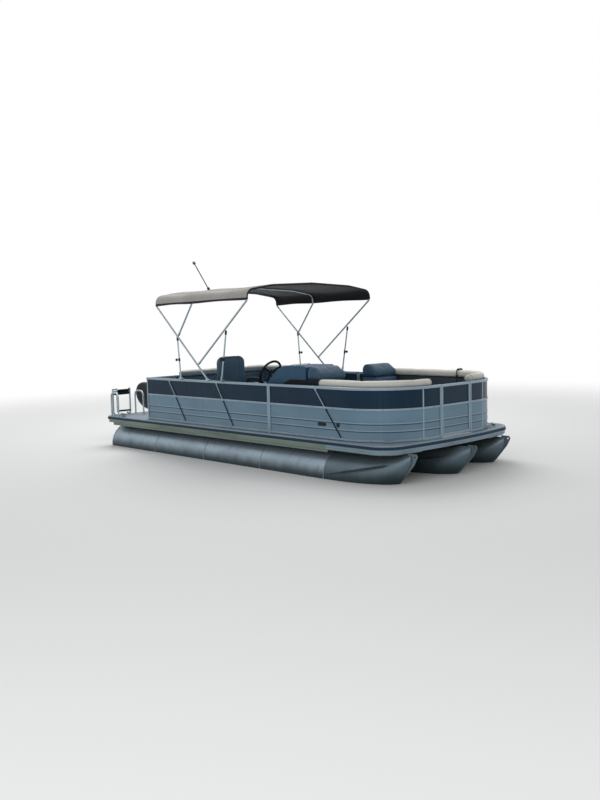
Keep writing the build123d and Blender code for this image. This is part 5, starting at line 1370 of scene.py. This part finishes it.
class PONTOON_OT_canopy(bpy.types.Operator):
    """Make the sun top's cloth"""

    bl_idname = "pontoon.add_canopy"
    bl_label = "Add canopy"

    def execute(self, context):
        build_canopy(context.scene.pontoon_canopy)
        return {"FINISHED"}


class PONTOON_OT_lounges(bpy.types.Operator):
    """Make the lounges' cushions, backrests, lids and headrests"""

    bl_idname = "pontoon.add_lounges"
    bl_label = "Add lounges"

    def execute(self, context):
        build_lounges(context.scene.pontoon_lounges)
        return {"FINISHED"}


class PONTOON_OT_chair(bpy.types.Operator):
    """Make the captain's chair"""

    bl_idname = "pontoon.add_chair"
    bl_label = "Add chair"

    def execute(self, context):
        build_chair(context.scene.pontoon_chair)
        return {"FINISHED"}


class PONTOON_OT_fence_trim(bpy.types.Operator):
    """Make the screws, painted-shade strips, vents, latches, threshold and strap of the fence"""

    bl_idname = "pontoon.add_fence_trim"
    bl_label = "Add fence trim"

    def execute(self, context):
        build_fence_trim(context.scene.pontoon_trim)
        return {"FINISHED"}


class PONTOON_OT_top_fittings(bpy.types.Operator):
    """Make the knobs, jaws, caps and lamp of the sun top"""

    bl_idname = "pontoon.add_top_fittings"
    bl_label = "Add top fittings"

    def execute(self, context):
        build_top_fittings()
        return {"FINISHED"}


class PONTOON_OT_helm(bpy.types.Operator):
    """Make the dash, dials, throttle, grab bar and wheel trim"""

    bl_idname = "pontoon.add_helm"
    bl_label = "Add helm"

    def execute(self, context):
        build_helm()
        return {"FINISHED"}


class PONTOON_OT_hull_trim(bpy.types.Operator):
    """Make the weld beads, plugs, screws and ladder treads"""

    bl_idname = "pontoon.add_hull_trim"
    bl_label = "Add hull trim"

    def execute(self, context):
        build_hull_trim()
        return {"FINISHED"}


class PONTOON_OT_motor_trim(bpy.types.Operator):
    """Make the band, vents, grip, bolts and nuts of the motor"""

    bl_idname = "pontoon.add_motor_trim"
    bl_label = "Add motor trim"

    def execute(self, context):
        build_motor_trim()
        return {"FINISHED"}


class PONTOON_OT_base_trim(bpy.types.Operator):
    """Make the kick strips, vents, seams and slats of the lounge bases"""

    bl_idname = "pontoon.add_base_trim"
    bl_label = "Add base trim"

    def execute(self, context):
        build_base_trim()
        return {"FINISHED"}


class PONTOON_OT_stage(bpy.types.Operator):
    """Make the floor, lamps, background and camera"""

    bl_idname = "pontoon.add_stage"
    bl_label = "Add stage"

    def execute(self, context):
        build_stage(context.scene.pontoon_stage)
        return {"FINISHED"}


OPERATORS = (
    PONTOON_OT_finish,
    PONTOON_OT_canopy,
    PONTOON_OT_lounges,
    PONTOON_OT_chair,
    PONTOON_OT_fence_trim,
    PONTOON_OT_top_fittings,
    PONTOON_OT_helm,
    PONTOON_OT_hull_trim,
    PONTOON_OT_motor_trim,
    PONTOON_OT_base_trim,
    PONTOON_OT_stage,
)


class PONTOON_PT_sidebar(bpy.types.Panel):
    """Sidebar panel with every step and its settings"""

    bl_idname = "PONTOON_PT_sidebar"
    bl_label = "Pontoon boat"
    bl_space_type = "VIEW_3D"
    bl_region_type = "UI"
    bl_category = "Pontoon"

    def draw(self, context):
        for step in OPERATORS:
            self.layout.operator(step.bl_idname)
        for attribute, group in SETTINGS:
            box = self.layout.box()
            for key in group.__annotations__:
                box.prop(getattr(context.scene, attribute), key)


def register():
    """Register the classes and hang the settings on the scene."""
    for attribute, group in SETTINGS:
        bpy.utils.register_class(group)
        setattr(bpy.types.Scene, attribute, bpy.props.PointerProperty(type=group))
    for cls in (*OPERATORS, PONTOON_PT_sidebar):
        bpy.utils.register_class(cls)


def unregister():
    """Take the classes and settings away again."""
    for cls in (PONTOON_PT_sidebar, *reversed(OPERATORS)):
        bpy.utils.unregister_class(cls)
    for attribute, group in SETTINGS:
        delattr(bpy.types.Scene, attribute)
        bpy.utils.unregister_class(group)


def main():
    """Run every step."""
    register()
    bpy.ops.pontoon.finish_solids()
    bpy.ops.pontoon.add_canopy()
    bpy.ops.pontoon.add_lounges()
    bpy.ops.pontoon.add_chair()
    bpy.ops.pontoon.add_fence_trim()
    bpy.ops.pontoon.add_top_fittings()
    bpy.ops.pontoon.add_helm()
    bpy.ops.pontoon.add_hull_trim()
    bpy.ops.pontoon.add_motor_trim()
    bpy.ops.pontoon.add_base_trim()
    bpy.ops.pontoon.add_stage()


if __name__ == "__main__":
    main()
